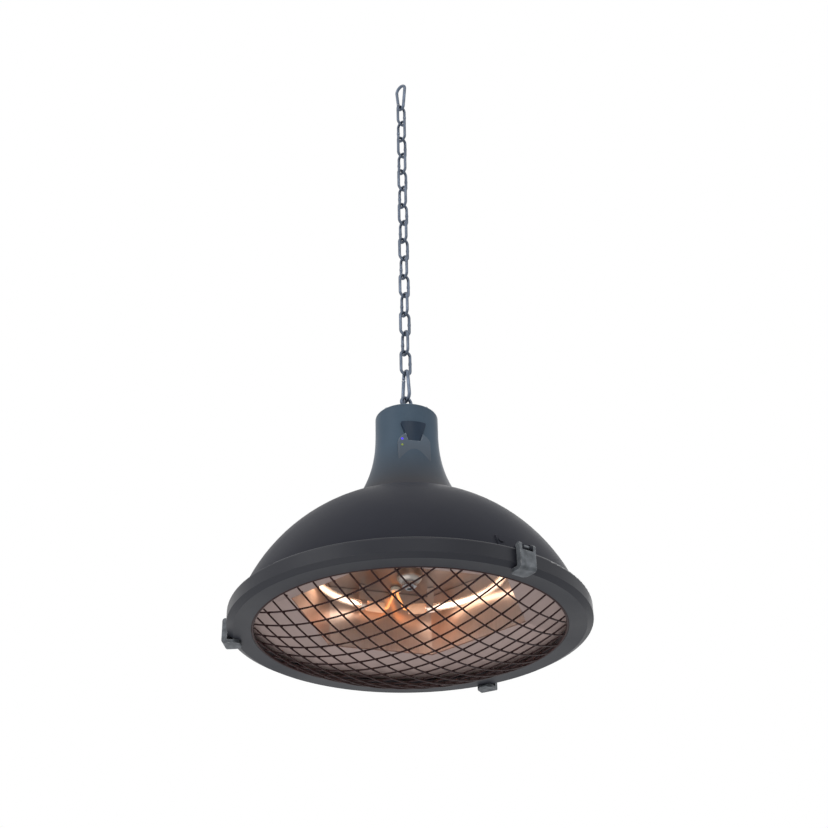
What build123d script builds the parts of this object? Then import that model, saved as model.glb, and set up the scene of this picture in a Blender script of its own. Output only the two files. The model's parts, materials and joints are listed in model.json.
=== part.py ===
from build123d import *
import math
import os

# Hanging patio heater: hook, chain, hook, neck, dome, reflector, curved tubes, bulged grille.
# The origin is where the top hook rests on its ceiling hook. +Z is up.
# Heater pieces are drawn above a datum at the rim and then lowered into place.

# Driving sizes of the chain and hooks
link_count = 15
link_wire = 4.0
link_inner_length = 31.45
link_inner_width = 9.5
bow_play = 0.2
first_link_turn = 45.0
quarter_turn = 90.0
chain_twist = 15.0
hook_wire = 4.5
hook_length = 50.0
hook_wide_radius = 8.5
hook_narrow_radius = 5.0
pivot_rise = 5.0
pivot_lift = 2.6
tongue_thickness = 2.0
tongue_radius = 1.7
slot_play = 0.2
gate_end_gap = 0.3
nose_drop = 1.0
nose_key_length = 2.6
nose_key_thickness = 1.8
nose_key_width = 3.0
gate_pin_radius = 1.0
gate_pin_length = 4.9

# Fits that many pieces share
turn_gap = 0.05
seat_gap = 0.1
open_gap = 0.3
overrun = 6.0

# Driving sizes of the dome and neck, heights above the rim datum
sheet = 1.2
dome_radius = 210.4
dome_centre_depth = 43.7
dome_foot = 5.0
dome_lip_width = 20.4
neck_radius = 39.5
neck_rise = 119.3
lid_thickness = 4.0
lid_edge = 3.0
neck_straight_length = 23.0
neck_flare = 30.4
flare_power = 2.35
flare_stations = 8
foot_flange_width = 15.9
foot_flange_thickness = 1.5
dome_opening_width = 17.9
neck_rim_width = 7.0

# Eye bolt and lid screws
eye_wire = 4.5
eye_outer_radius = 9.0
eye_neck_radius = 3.5
eye_neck_length = 12.5
eye_collar_radius = 7.0
eye_collar_height = 3.0
eye_shank_radius = 3.0
eye_shank_length = 17.0
washer_radius = 6.5
washer_thickness = 1.5
eye_nut_radius = 5.7
eye_nut_height = 5.0
lid_screw_count = 4
lid_screw_inset = 4.8
lid_screw_radius = 1.5
lid_screw_length = 9.0
lid_head_radius = 2.6
lid_head_height = 1.8

# Cable gland on the lid
gland_gap = 1.5
gland_thread_radius = 8.0
gland_hex_radius = 10.0
gland_hex_height = 4.0
gland_tube_radius = 7.6
gland_tube_height = 7.0
gland_cap_height = 10.0
gland_cap_wall = 1.8
gland_cap_edge = 2.0
gland_bore_radius = 4.0
gland_seal_radius = 5.8
gland_thread_length = 9.0

# Receiver on the neck's front
receiver_bearing = 167.3
lens_below_top = 28.0
lens_half_width = 15.5
lens_foot_half_width = 7.6
lens_side = 2.5
lens_drop = 28.0
lens_corner = 1.2
lens_proud = 3.0
lens_depth = 5.0
panel_half_width = 20.0
panel_below_top = 43.0
panel_arch_rise = 14.0
panel_length = 52.0
panel_proud = 3.8
panel_edge = 1.5
pilot_radius = 1.5
pilot_side = 15.2
pilot_below_crown = 11.8
pilot_spacing = 8.4
pilot_proud = 0.6
board_inset = 13.5
board_width = 40.0
board_height = 54.0
board_thickness = 1.6
board_below_top = 50.0
stud_radius = 2.0
stud_side = 17.6
stud_rise = 24.4
sensor_size = 8.0

# Rim ring and grille
ring_proud = 1.2
ring_bottom = -3.0
ring_top = 19.0
ring_shoulder = 4.0
ring_bevel_width = 7.6
ring_bevel_height = 4.0
ring_width = 28.4
ring_sheet = 2.0
ring_collar_height = 8.7
rim_wire = 3.0
grille_wire = 2.0
grille_pitch = 22.2
grille_depth = 43.5
grille_turn = 54.8
grille_lower_shift = -3.1
grille_upper_shift = 6.0
grille_edge_share = 0.06
grille_play = 0.02
grille_end_gap = 0.1
seal_inset = 12.6
seal_width = 4.0

# Reflector
panel_count = 6
reflector_corner_gap = 4.85
reflector_turn = 79.5
reflector_skew = 4.5
reflector_top_drop = 64.1
reflector_sheet = 1.0
skirt_rise = 16.6
skirt_overlap = 7.8
skirt_flange_width = 9.0
reflector_screw_count = 6
reflector_screw_inset = 4.0
reflector_screw_radius = 2.0
reflector_screw_length = 5.0
reflector_head_radius = 3.6
reflector_head_height = 2.0

# Central rod, hub, shield and support plate
rod_radius = 5.0
rod_bore = 3.0
rod_overhang = 3.0
hub_radius = 15.0
hub_depth = 42.6
hub_round = 7.0
rod_nut_radius = 8.6
rod_nut_height = 5.0
shield_inset = 43.7
shield_thickness = 0.8
shield_lift = 6.6
support_inset = 3.9
support_thickness = 2.0
neck_screw_count = 3
neck_screw_inset = 9.9
neck_screw_radius = 2.0
neck_screw_tip = 4.0
neck_head_radius = 3.5
neck_head_height = 2.5

# Heating tubes
tube_count = 3
tube_inset = 29.7
tube_drop = 27.6
tube_radius = 5.0
tube_wall = 1.2
tube_gap_half = 7.9
first_gap = 99.4
cap_radius = 6.5
cap_length = 22.0
cap_overlap = 9.0
clip_strap_width = 8.0
clip_strap = 1.0
clip_mouth = 70.0
clip_from_end = 29.0
coil_turns = 33
coil_radius = 1.9
coil_wire = 0.9
coil_span_half = 35.0
coil_run_out = 5.0
gap_samples = 36

# Sleeved leads and their bushes
lead_radius = 1.6
lead_spread = 2.4
lead_run = 5.0
lead_apex_drop = 8.0
lead_rise = 16.4
lead_bend = 9.0
lead_small_bend = 5.0
bush_radius = 6.5
bush_below = 4.0
bush_above = 3.4
block_width = 60.0
block_depth = 24.0
block_height = 18.0
block_offset = 28.0
lead_approach = 26.0

# Claw clips that hold the ring
clip_bearings = (27.0, 145.0, 274.5)
pin_proud = 4.4
pin_above_ring = 0.5
pin_radius = 1.6
claw_half_width = 10.5
claw_flange = 3.0
claw_gap = 1.4
claw_depth = 6.5
claw_plate = 2.5
claw_hook_length = 14.5
claw_hook_gap = 0.4
claw_hook_height = 4.2
claw_boss_radius = 3.6
claw_corner_share = 0.9
claw_tip_share = 0.4
claw_toe_radius = 7.5
claw_plate_drop = 5.5
ear_thickness = 2.4
ear_radius = 3.2
ear_play = 0.5
ear_gap = 0.5
base_half_width = 23.0
base_above_ring = 3.0
base_rise = 15.0
base_thickness = 2.0
rivet_side = 18.0
rivet_radius = 2.0
rivet_head_radius = 3.4
rivet_head_height = 1.4


def dome_height(radius, inward=0.0):
    """Height of the dome's skin above the datum at a radius."""
    skin = dome_radius - inward
    return math.sqrt(skin**2 - radius**2) - dome_centre_depth


def dome_reach(height, inward=0.0):
    """Radius of the dome's skin at a height above the datum."""
    skin = dome_radius - inward
    return math.sqrt(skin**2 - (height + dome_centre_depth) ** 2)


# Radii and heights of the heater that follow from the sizes above
dome_crown = dome_radius - dome_centre_depth
dome_lip_radius = dome_radius - dome_lip_width
neck_top = dome_crown + neck_rise
neck_straight_end = neck_top - neck_straight_length
neck_foot_radius = neck_radius + neck_flare
foot_flange_radius = neck_foot_radius - foot_flange_width
dome_opening_radius = neck_foot_radius - dome_opening_width
neck_screw_circle = neck_foot_radius - neck_screw_inset
support_radius = neck_foot_radius - support_inset
lid_screw_circle = neck_radius - lid_screw_inset
gland_offset = eye_collar_radius + gland_gap + gland_hex_radius
lens_top = neck_top - lens_below_top
panel_crown = neck_top - panel_below_top
panel_shoulder = panel_crown - panel_arch_rise
panel_foot = panel_crown - panel_length
panel_face = neck_radius + panel_proud
pilot_upper = panel_crown - pilot_below_crown
pilot_lower = pilot_upper - pilot_spacing
board_centre = neck_top - board_below_top
board_distance = neck_radius - board_inset
ring_radius = dome_radius + ring_proud
ring_inner_radius = ring_radius - ring_width
seal_inner_radius = ring_radius - seal_inset
skirt_radius = ring_inner_radius + skirt_overlap
reflector_screw_circle = skirt_radius + skirt_flange_width - reflector_screw_inset
reflector_top_height = dome_crown - reflector_top_drop
plate_top = reflector_top_height + reflector_sheet
reflector_radius = dome_reach(plate_top, sheet) - reflector_corner_gap
shield_radius = reflector_radius - shield_inset
hub_bottom = reflector_top_height - hub_depth
tube_circle = reflector_radius - tube_inset
tube_height = reflector_top_height - tube_drop
wall_foot = dome_foot + sheet + skirt_rise
lead_level = plate_top + lead_rise
pin_reach = ring_radius + pin_proud
pin_height = ring_top + pin_above_ring
claw_inner = ring_radius + claw_gap
claw_outer = claw_inner + claw_depth
claw_hook_reach = claw_inner - claw_hook_length
claw_plate_top = pin_height - claw_plate_drop
base_low = ring_top + base_above_ring
base_high = base_low + base_rise

# Places along the hanging line
hook_half = (hook_length - hook_wire) / 2
hang_wire = hook_wire / 2
top_hook_height = hang_wire - hook_half
link_half = (link_inner_length + link_wire) / 2
link_step = link_inner_length - bow_play
first_link_height = top_hook_height - hook_half + (hook_wire + link_wire) / 2 + bow_play - link_half
last_link_height = first_link_height - link_step * (link_count - 1)
lower_hook_height = last_link_height - link_half + (hook_wire + link_wire) / 2 + bow_play - hook_half
eye_ring_radius = eye_outer_radius - eye_wire / 2
eye_height = lower_hook_height - hook_half + (hook_wire + eye_wire) / 2 + bow_play - eye_ring_radius
eye_above_datum = neck_top + eye_collar_height + eye_neck_length + eye_outer_radius
heater_height = eye_height - eye_above_datum
heater_place = Location((0, 0, heater_height))
tube_end_angle = math.radians(tube_gap_half)


def link_turn(number):
    """Turn of a link's plane about the chain, in degrees."""
    base = first_link_turn - quarter_turn * ((number - 1) % 2)
    return base - chain_twist * (number - 1) / (link_count - 1)


top_hook_turn = first_link_turn - quarter_turn
lower_hook_turn = link_turn(link_count) - quarter_turn
eye_turn = lower_hook_turn + quarter_turn


def spin(outline):
    """Turn a closed outline, drawn as radius and height, about the middle axis."""
    return revolve(Plane.XZ * make_face(outline), Axis.Z)


def spin_points(points):
    return spin(Polyline(*points, close=True))


def rod(start, end, radius):
    """Round bar from one point to another."""
    line = Vector(*end) - Vector(*start)
    return Solid.make_cylinder(radius, line.length, Plane(origin=start, z_dir=line))


def hexagon(radius, height, place):
    return extrude(place * RegularPolygon(radius, panel_count), height)


def bearing_turn(bearing):
    """Turn about Z that takes +X to a bearing read clockwise from +Y."""
    return Rotation(0, 0, quarter_turn - bearing)


def ball(radius, height):
    return Pos(0, 0, height) * Sphere(radius)


def save(name, shapes, place=None):
    """Write one node, which may hold several separate solids."""
    group = shapes if isinstance(shapes, list) else [shapes]
    solids = [solid for shape in group for solid in shape.solids()]
    if place is not None:
        solids = [place * solid for solid in solids]
    whole = solids[0] if len(solids) == 1 else Compound(solids)
    export_step(whole, os.path.join("parts", name + ".step"))


# Chain links

def make_link():
    """One link in the XZ plane, centred, as a round wire bent to a long ring."""
    bow = (link_inner_width + link_wire) / 2
    side = link_half - bow
    right = Line((bow, 0, -side), (bow, 0, side))
    top = ThreePointArc((bow, 0, side), (0, 0, side + bow), (-bow, 0, side))
    left = Line((-bow, 0, side), (-bow, 0, -side))
    bottom = ThreePointArc((-bow, 0, -side), (0, 0, -side - bow), (bow, 0, -side))
    path = Wire([right, top, left, bottom])
    section = Plane(origin=(bow, 0, -side), z_dir=(0, 0, 1)) * Circle(link_wire / 2)
    return sweep(section, path)


def save_chain():
    link = make_link()
    for number in range(1, link_count + 1):
        height = first_link_height - link_step * (number - 1)
        place = Pos(0, 0, height) * Rotation(0, 0, link_turn(number))
        save(f"chain_link_{number:02d}", place * link)


# Snap hooks

bow_distance = 2 * hook_half - hook_wide_radius - hook_narrow_radius
hook_lean = math.asin((hook_wide_radius - hook_narrow_radius) / bow_distance)
wide_centre = hook_half - hook_wide_radius
narrow_centre = hook_narrow_radius - hook_half


def hook_side(centre, radius, side):
    """Point where a straight side of the hook meets a bow."""
    return Vector(side * radius * math.cos(hook_lean), 0, centre - radius * math.sin(hook_lean))


gate_low = hook_side(narrow_centre, hook_narrow_radius, -1)
gate_high = hook_side(wide_centre, hook_wide_radius, -1)
gate_line = (gate_high - gate_low).normalized()
body_end = gate_low + gate_line * pivot_rise
gate_pivot = body_end + gate_line * pivot_lift
nose_end = gate_high - gate_line * nose_drop
gate_frame = Plane(origin=gate_pivot, x_dir=(0, 1, 0), z_dir=gate_line)


def make_hook_body():
    """Bent wire with a pivot tongue at one end and a key at its nose."""
    right_low = hook_side(narrow_centre, hook_narrow_radius, 1)
    right_high = hook_side(wide_centre, hook_wide_radius, 1)
    edges = [
        Line(body_end, gate_low),
        ThreePointArc(gate_low, (0, 0, -hook_half), right_low),
        Line(right_low, right_high),
        ThreePointArc(right_high, (0, 0, hook_half), gate_high),
        Line(gate_high, nose_end),
    ]
    section = Plane(origin=body_end, z_dir=-gate_line) * Circle(hook_wire / 2)
    body = sweep(section, Wire(edges))
    root = pivot_lift + hook_wire / 4
    stem = gate_frame * Pos(0, 0, -root / 2) * Box(tongue_thickness, 2 * tongue_radius, root)
    head = gate_frame * Rotation(0, quarter_turn, 0) * Cylinder(tongue_radius, tongue_thickness)
    key_reach = nose_key_length + hook_wire / 4
    key_place = Plane(origin=nose_end, x_dir=(0, 1, 0), z_dir=-gate_line)
    key_bar = Box(nose_key_thickness, nose_key_width, key_reach)
    key = key_place * Pos(0, 0, nose_key_length - key_reach / 2) * key_bar
    hole = gate_frame * Rotation(0, quarter_turn, 0) * Cylinder(gate_pin_radius, 2 * hook_wire)
    return body + stem + head + key - hole


def make_hook_gate():
    """Round gate, forked over the tongue below and slotted for the key above."""
    length = (nose_end - gate_pivot).length - gate_end_gap
    radius = hook_wire / 2
    gate = gate_frame * (Pos(0, 0, length / 2) * Cylinder(radius, length) + Sphere(radius))
    fork_depth = tongue_radius + radius + open_gap
    fork_box = Box(tongue_thickness + 2 * slot_play, 2 * hook_wire, fork_depth)
    fork = Pos(0, 0, fork_depth / 2 - radius) * fork_box
    notch_depth = nose_key_length + open_gap
    notch = Pos(0, 0, length - notch_depth / 2 + open_gap) * Box(
        nose_key_thickness + 2 * slot_play, 2 * hook_wire, notch_depth + open_gap
    )
    hole = Rotation(0, quarter_turn, 0) * Cylinder(gate_pin_radius + turn_gap, 2 * hook_wire)
    return gate - gate_frame * fork - gate_frame * notch - gate_frame * hole


def make_gate_pin():
    return gate_frame * Rotation(0, quarter_turn, 0) * Cylinder(gate_pin_radius, gate_pin_length)


def save_hooks():
    upright = Pos(0, 0, top_hook_height) * Rotation(0, 0, top_hook_turn)
    flip = Rotation(2 * quarter_turn, 0, 0)
    turned_over = Pos(0, 0, lower_hook_height) * Rotation(0, 0, lower_hook_turn) * flip
    for name, place in (("top", upright), ("lower", turned_over)):
        save(name + "_hook_body", place * make_hook_body())
        save(name + "_hook_gate", place * make_hook_gate())
        save(name + "_hook_pin", place * make_gate_pin())


# Neck, lid and what passes through the lid

def flare_radius(height):
    """Outer radius of the flared neck at a height above the datum."""
    foot = dome_height(neck_foot_radius)
    share = max(0, (neck_straight_end - height) / (neck_straight_end - foot))
    return neck_radius + (neck_foot_radius - neck_radius) * share**flare_power


def flare_points(wall):
    """Points down the flare, moved inward by the wall across the slope."""
    foot = dome_height(neck_foot_radius)
    drop = neck_straight_end - foot
    points = []
    for station in range(flare_stations + 1):
        share = station / flare_stations
        slope = (neck_foot_radius - neck_radius) * flare_power * share ** (flare_power - 1) / drop
        radius = flare_radius(neck_straight_end - drop * share)
        points.append((radius - wall * math.hypot(1, slope), neck_straight_end - drop * share))
    return points


def make_neck_shell():
    """Spun neck with a narrow rim under the lid and a foot that lies on the dome."""
    outer = flare_points(0)
    inner = flare_points(sheet)
    shell_top = neck_top - lid_thickness
    rim_inner = neck_radius - neck_rim_width
    bore = neck_radius - sheet
    foot_low = dome_height(foot_flange_radius)
    foot_top = foot_low + foot_flange_thickness
    inner_foot = (inner[-1][0], dome_height(inner[-1][0]) + foot_flange_thickness)
    inner = inner[:-1]
    foot_middle = (foot_flange_radius + neck_foot_radius) / 2
    top_middle = (foot_flange_radius + inner_foot[0]) / 2
    top_middle_height = dome_height(top_middle) + foot_flange_thickness
    edges = [
        Line((rim_inner, shell_top), (neck_radius, shell_top)),
        Line((neck_radius, shell_top), outer[0]),
        Spline(*outer),
        ThreePointArc(outer[-1], (foot_middle, dome_height(foot_middle)), (foot_flange_radius, foot_low)),
        Line((foot_flange_radius, foot_low), (foot_flange_radius, foot_top)),
        ThreePointArc((foot_flange_radius, foot_top), (top_middle, top_middle_height), inner_foot),
        Line(inner_foot, inner[-1]),
        Spline(*reversed(inner)),
        Line(inner[0], (bore, shell_top - sheet)),
        Line((bore, shell_top - sheet), (rim_inner, shell_top - sheet)),
        Line((rim_inner, shell_top - sheet), (rim_inner, shell_top)),
    ]
    shell = spin(Wire(edges))
    shell -= Pos(0, gland_offset, shell_top) * Cylinder(gland_thread_radius + seat_gap, 2 * overrun)
    for place in lid_screw_places():
        shell -= place * Cylinder(lid_screw_radius, overrun)
    for place in neck_screw_places(dome_height(neck_screw_circle)):
        shell -= place * Cylinder(neck_screw_radius, 2 * overrun)
    shell -= lens_block(seat_gap)
    for height in (pilot_upper, pilot_lower):
        shell -= pilot_bar(height, seat_gap)
    for stud in make_studs():
        shell += stud
    return shell


def lid_screw_places():
    height = neck_top - lid_thickness
    turns = PolarLocations(lid_screw_circle, lid_screw_count, start_angle=first_link_turn)
    return [Pos(0, 0, height) * place for place in turns]


def neck_screw_places(height):
    turns = PolarLocations(neck_screw_circle, neck_screw_count, start_angle=quarter_turn)
    return [Pos(0, 0, height) * place for place in turns]


def make_lid():
    """Round lid with a softened edge and holes for the bolt, screws and gland."""
    low = neck_top - lid_thickness
    lid = Pos(0, 0, low + lid_thickness / 2) * Cylinder(neck_radius, lid_thickness)
    lid = fillet(lid.edges().group_by(Axis.Z)[-1], lid_edge)
    lid -= Pos(0, 0, neck_top) * Cylinder(eye_shank_radius + seat_gap, 2 * overrun)
    lid -= Pos(0, gland_offset, neck_top) * Cylinder(gland_thread_radius, 2 * overrun)
    for place in lid_screw_places():
        lid -= place * Cylinder(lid_screw_radius + seat_gap, 2 * overrun)
    return lid


def make_lid_screws():
    screws = []
    for place in lid_screw_places():
        top = lid_thickness
        shank = place * Pos(0, 0, top - lid_screw_length / 2) * Cylinder(lid_screw_radius, lid_screw_length)
        head = place * Pos(0, 0, top + lid_head_height / 2) * Cylinder(lid_head_radius, lid_head_height)
        head = fillet(head.edges().group_by(Axis.Z)[-1], lid_head_height / 2)
        screws.append(shank + head)
    return screws


def make_eye_bolt():
    ring = Pos(0, 0, eye_above_datum) * Rotation(0, 0, eye_turn) * Rotation(quarter_turn, 0, 0) * Torus(
        eye_ring_radius, eye_wire / 2
    )
    collar_top = neck_top + eye_collar_height
    collar = rod((0, 0, neck_top), (0, 0, collar_top), eye_collar_radius)
    neck_end = eye_above_datum - eye_ring_radius
    neck = rod((0, 0, collar_top), (0, 0, neck_end), eye_neck_radius)
    neck -= Pos(0, 0, eye_above_datum) * Rotation(0, 0, eye_turn) * Rotation(quarter_turn, 0, 0) * Cylinder(
        eye_outer_radius - eye_wire, eye_wire + overrun
    )
    shank = rod((0, 0, neck_top - eye_shank_length), (0, 0, neck_top), eye_shank_radius)
    return ring + neck + collar + shank


def washer_and_nut(radius, top, washer, thickness, nut, height):
    """A round washer and a six-sided nut under a face, both bored for a thread."""
    low = top - thickness
    disc = rod((0, 0, low), (0, 0, top), washer) - rod((0, 0, low - overrun), (0, 0, top + overrun), radius)
    body = hexagon(nut, height, Pos(0, 0, low - height))
    body -= rod((0, 0, low - height - overrun), (0, 0, low + overrun), radius)
    return disc, body


def make_gland():
    """Body, cap and seal of the cable gland that screws into the lid."""
    centre = Pos(0, gland_offset, 0)
    hex_top = neck_top + gland_hex_height
    tube_top = hex_top + gland_tube_height
    lid_low = neck_top - lid_thickness
    thread_low = lid_low - gland_thread_length + lid_thickness
    body = hexagon(gland_hex_radius, gland_hex_height, Pos(0, 0, neck_top))
    body += rod((0, 0, hex_top), (0, 0, tube_top), gland_tube_radius)
    body += rod((0, 0, thread_low), (0, 0, neck_top), gland_thread_radius)
    body -= rod((0, 0, thread_low - overrun), (0, 0, tube_top + overrun), gland_seal_radius)
    cap_low = hex_top + open_gap
    cap_top = cap_low + gland_cap_height
    cap = rod((0, 0, cap_low), (0, 0, cap_top), gland_hex_radius)
    cap = fillet(cap.edges().group_by(Axis.Z)[-1], gland_cap_edge)
    cap -= rod((0, 0, cap_low - overrun), (0, 0, cap_top - gland_cap_wall), gland_tube_radius)
    cap -= rod((0, 0, cap_low), (0, 0, cap_top + overrun), gland_seal_radius)
    seal = rod((0, 0, neck_top), (0, 0, cap_top), gland_seal_radius)
    seal -= rod((0, 0, neck_top - overrun), (0, 0, cap_top + overrun), gland_bore_radius)
    return [centre * piece for piece in (body, cap, seal)]


def save_neck():
    save("neck_shell", make_neck_shell(), heater_place)
    save("neck_lid", make_lid(), heater_place)
    save("lid_screws", make_lid_screws(), heater_place)
    save("eye_bolt", make_eye_bolt(), heater_place)
    low = neck_top - lid_thickness
    washer, nut = washer_and_nut(
        eye_shank_radius, low, washer_radius, washer_thickness, eye_nut_radius, eye_nut_height
    )
    save("eye_bolt_nut", [washer, nut], heater_place)
    body, cap, seal = make_gland()
    save("gland_body", body, heater_place)
    save("gland_cap", cap, heater_place)
    save("gland_seal", seal, heater_place)


# Receiver module

receiver_face = bearing_turn(receiver_bearing) * Location(Plane.YZ)


def lens_block(gap):
    """Window block: flat top, short upright sides, then sides that slant in to a narrow foot."""
    half = lens_half_width + gap
    top = lens_top + gap
    side = lens_top - lens_side
    low = lens_top - lens_drop - gap
    foot = lens_foot_half_width + gap
    corners = [(-half, side), (-half, top), (half, top), (half, side), (foot, low), (-foot, low)]
    outline = fillet(make_face(Polyline(*corners, close=True)).vertices(), lens_corner + gap)
    length = neck_radius + overrun - board_distance
    return receiver_face * Pos(0, 0, board_distance) * extrude(outline, length)


def round_column(radius):
    """Round bar about the middle axis, as tall as the lens and panel."""
    return Pos(0, 0, (panel_foot + lens_top) / 2) * Cylinder(radius, lens_top - panel_foot + 2 * overrun)


def pilot_bar(height, gap):
    line = receiver_face * Pos(-pilot_side, height, 0)
    length = panel_face + pilot_proud + gap - board_distance
    return line * Pos(0, 0, board_distance + length / 2) * Cylinder(pilot_radius + gap, length)


def neck_core():
    """Everything inside the neck's outer skin."""
    points = flare_points(0)
    edges = [
        Line((0, points[-1][1]), (0, neck_top)),
        Line((0, neck_top), (neck_radius, neck_top)),
        Line((neck_radius, neck_top), points[0]),
        Spline(*points),
        Line(points[-1], (0, points[-1][1])),
    ]
    return spin(Wire(edges))


def make_panel():
    """Arched raised panel with a flat face, cut behind to the neck's skin."""
    half = panel_half_width
    outline = Wire([
        Line((-half, panel_foot), (-half, panel_shoulder)),
        ThreePointArc((-half, panel_shoulder), (0, panel_crown), (half, panel_shoulder)),
        Line((half, panel_shoulder), (half, panel_foot)),
        Line((half, panel_foot), (-half, panel_foot)),
    ])
    block = extrude(make_face(outline), panel_face - board_distance)
    block = fillet(block.edges().group_by(Axis.Z)[-1], panel_edge)
    panel = receiver_face * Pos(0, 0, board_distance) * block - neck_core() - lens_block(seat_gap)
    for height in (pilot_upper, pilot_lower):
        panel -= pilot_bar(height, seat_gap)
    return max(panel.solids(), key=lambda solid: solid.volume)


def make_lens():
    reach = neck_radius + lens_proud
    return (lens_block(0) & round_column(reach)) - round_column(reach - lens_depth)


def make_board():
    """Board with the infrared sensor soldered on behind the lens."""
    plate = Box(board_width, board_height, board_thickness)
    board = Pos(0, board_centre, board_distance - board_thickness / 2) * plate
    reach = neck_radius + lens_proud - lens_depth
    sensor = Pos(0, lens_top - lens_drop / 2, board_distance) * Box(
        sensor_size, sensor_size, reach - board_distance, align=(Align.CENTER, Align.CENTER, Align.MIN)
    )
    return receiver_face * board + ((receiver_face * sensor) & round_column(reach))


def make_studs():
    """Short posts from the board out into the neck's wall."""
    studs = []
    core = neck_core()
    for side in (-stud_side, stud_side):
        for height in (board_centre - stud_rise, board_centre + stud_rise):
            stud = Pos(side, height, board_distance) * Cylinder(
                stud_radius, neck_foot_radius, align=(Align.CENTER, Align.CENTER, Align.MIN)
            )
            reach = flare_radius(height) - sheet / 2
            column = Pos(0, 0, height) * Cylinder(reach, 2 * overrun)
            studs.append((receiver_face * stud) & column & core)
    return studs


def save_receiver():
    save("receiver_panel", make_panel(), heater_place)
    save("receiver_lens", make_lens(), heater_place)
    save("pilot_lights", [pilot_bar(pilot_upper, 0), pilot_bar(pilot_lower, 0)], heater_place)
    save("control_board", make_board(), heater_place)


# Dome, rim ring and seal

def make_dome():
    """Round shell with an opening under the neck and a lip turned in at the rim."""
    foot_outer = dome_reach(dome_foot)
    middle = (dome_opening_radius + foot_outer) / 2
    inner_low = (dome_reach(dome_foot + sheet, sheet), dome_foot + sheet)
    inner_top = (dome_opening_radius, dome_height(dome_opening_radius, sheet))
    edges = [
        ThreePointArc(
            (dome_opening_radius, dome_height(dome_opening_radius)),
            (middle, dome_height(middle)),
            (foot_outer, dome_foot),
        ),
        Line((foot_outer, dome_foot), (dome_lip_radius, dome_foot)),
        Line((dome_lip_radius, dome_foot), (dome_lip_radius, dome_foot + sheet)),
        Line((dome_lip_radius, dome_foot + sheet), inner_low),
        ThreePointArc(inner_low, (middle, dome_height(middle, sheet)), inner_top),
        Line(inner_top, (dome_opening_radius, dome_height(dome_opening_radius))),
    ]
    dome = spin(Wire(edges))
    for place in neck_screw_places(dome_height(neck_screw_circle)):
        dome -= place * Cylinder(neck_screw_radius + seat_gap, 2 * overrun)
    for place in reflector_screw_places():
        dome -= place * Cylinder(reflector_screw_radius, 2 * overrun)
    for bearing in clip_bearings:
        for side in (-rivet_side, rivet_side):
            dome -= bearing_turn(bearing) * rivet_bar(side, rivet_radius, -overrun, overrun)
    return dome


def make_ring():
    """Channel ring: inner collar, flat below, bevelled edge, outer wall and a lip over the rim."""
    under = ring_top - ring_sheet
    lip_inner = dome_reach(under) + open_gap
    bevel_top = ring_bottom + ring_bevel_height
    bevel_inner = ring_radius - ring_bevel_width
    wall = ring_radius - ring_sheet
    shoulder = ring_top - ring_shoulder
    inset = ring_sheet * math.tan(math.atan2(ring_bevel_height, ring_bevel_width) / 2)
    inner_shoulder = ring_shoulder - ring_sheet
    slant = math.sqrt(1 / 2)
    collar_outer = ring_inner_radius + ring_sheet
    collar_top = ring_bottom + ring_collar_height
    floor = ring_bottom + ring_sheet
    edges = [
        Line((ring_inner_radius, ring_bottom), (bevel_inner, ring_bottom)),
        Line((bevel_inner, ring_bottom), (ring_radius, bevel_top)),
        Line((ring_radius, bevel_top), (ring_radius, shoulder)),
        ThreePointArc(
            (ring_radius, shoulder),
            (ring_radius - ring_shoulder * (1 - slant), ring_top - ring_shoulder * (1 - slant)),
            (ring_radius - ring_shoulder, ring_top),
        ),
        Line((ring_radius - ring_shoulder, ring_top), (lip_inner, ring_top)),
        Line((lip_inner, ring_top), (lip_inner, under)),
        Line((lip_inner, under), (wall - inner_shoulder, under)),
        ThreePointArc(
            (wall - inner_shoulder, under),
            (wall - inner_shoulder * (1 - slant), under - inner_shoulder * (1 - slant)),
            (wall, shoulder),
        ),
        Line((wall, shoulder), (wall, bevel_top + inset)),
        Line((wall, bevel_top + inset), (bevel_inner - inset, floor)),
        Line((bevel_inner - inset, floor), (collar_outer, floor)),
        Line((collar_outer, floor), (collar_outer, collar_top)),
        Line((collar_outer, collar_top), (ring_inner_radius, collar_top)),
        Line((ring_inner_radius, collar_top), (ring_inner_radius, ring_bottom)),
    ]
    return spin(Wire(edges))


def make_seal():
    low = ring_bottom + ring_sheet
    inner = seal_inner_radius
    outer = inner + seal_width
    return spin_points([(inner, low), (outer, low), (outer, dome_foot), (inner, dome_foot)])


# Bulged grille

grille_edge = ring_inner_radius - rim_wire / 2 - seat_gap
grille_level = ring_bottom + ring_sheet / 2
grille_ball = (grille_edge**2 + grille_depth**2) / (2 * grille_depth)
grille_ball_centre = grille_level + grille_ball - grille_depth


def make_grille_wires(turn, shift, lift):
    """Parallel wires bent over the grille's ball, each a plain arc in its own upright plane."""
    wires = []
    reach = grille_edge - rim_wire / 2 - grille_end_gap
    skin = grille_ball - lift
    steps = math.ceil(reach / grille_pitch)
    for step in range(-steps, steps + 1):
        offset = shift + step * grille_pitch
        if abs(offset) > reach * (1 - grille_edge_share):
            continue
        half = math.sqrt(reach**2 - (abs(offset) + grille_wire / 2) ** 2)
        bend = math.sqrt(skin**2 - offset**2)
        rise = math.sqrt(bend**2 - half**2)
        ends = [(-half, offset, grille_ball_centre - rise), (half, offset, grille_ball_centre - rise)]
        path = ThreePointArc(ends[0], (0, offset, grille_ball_centre - bend), ends[1])
        section = Plane(origin=path @ 0, z_dir=path % 0) * Circle(grille_wire / 2)
        wires.append(Rotation(0, 0, turn) * sweep(section, path))
    return wires


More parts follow.
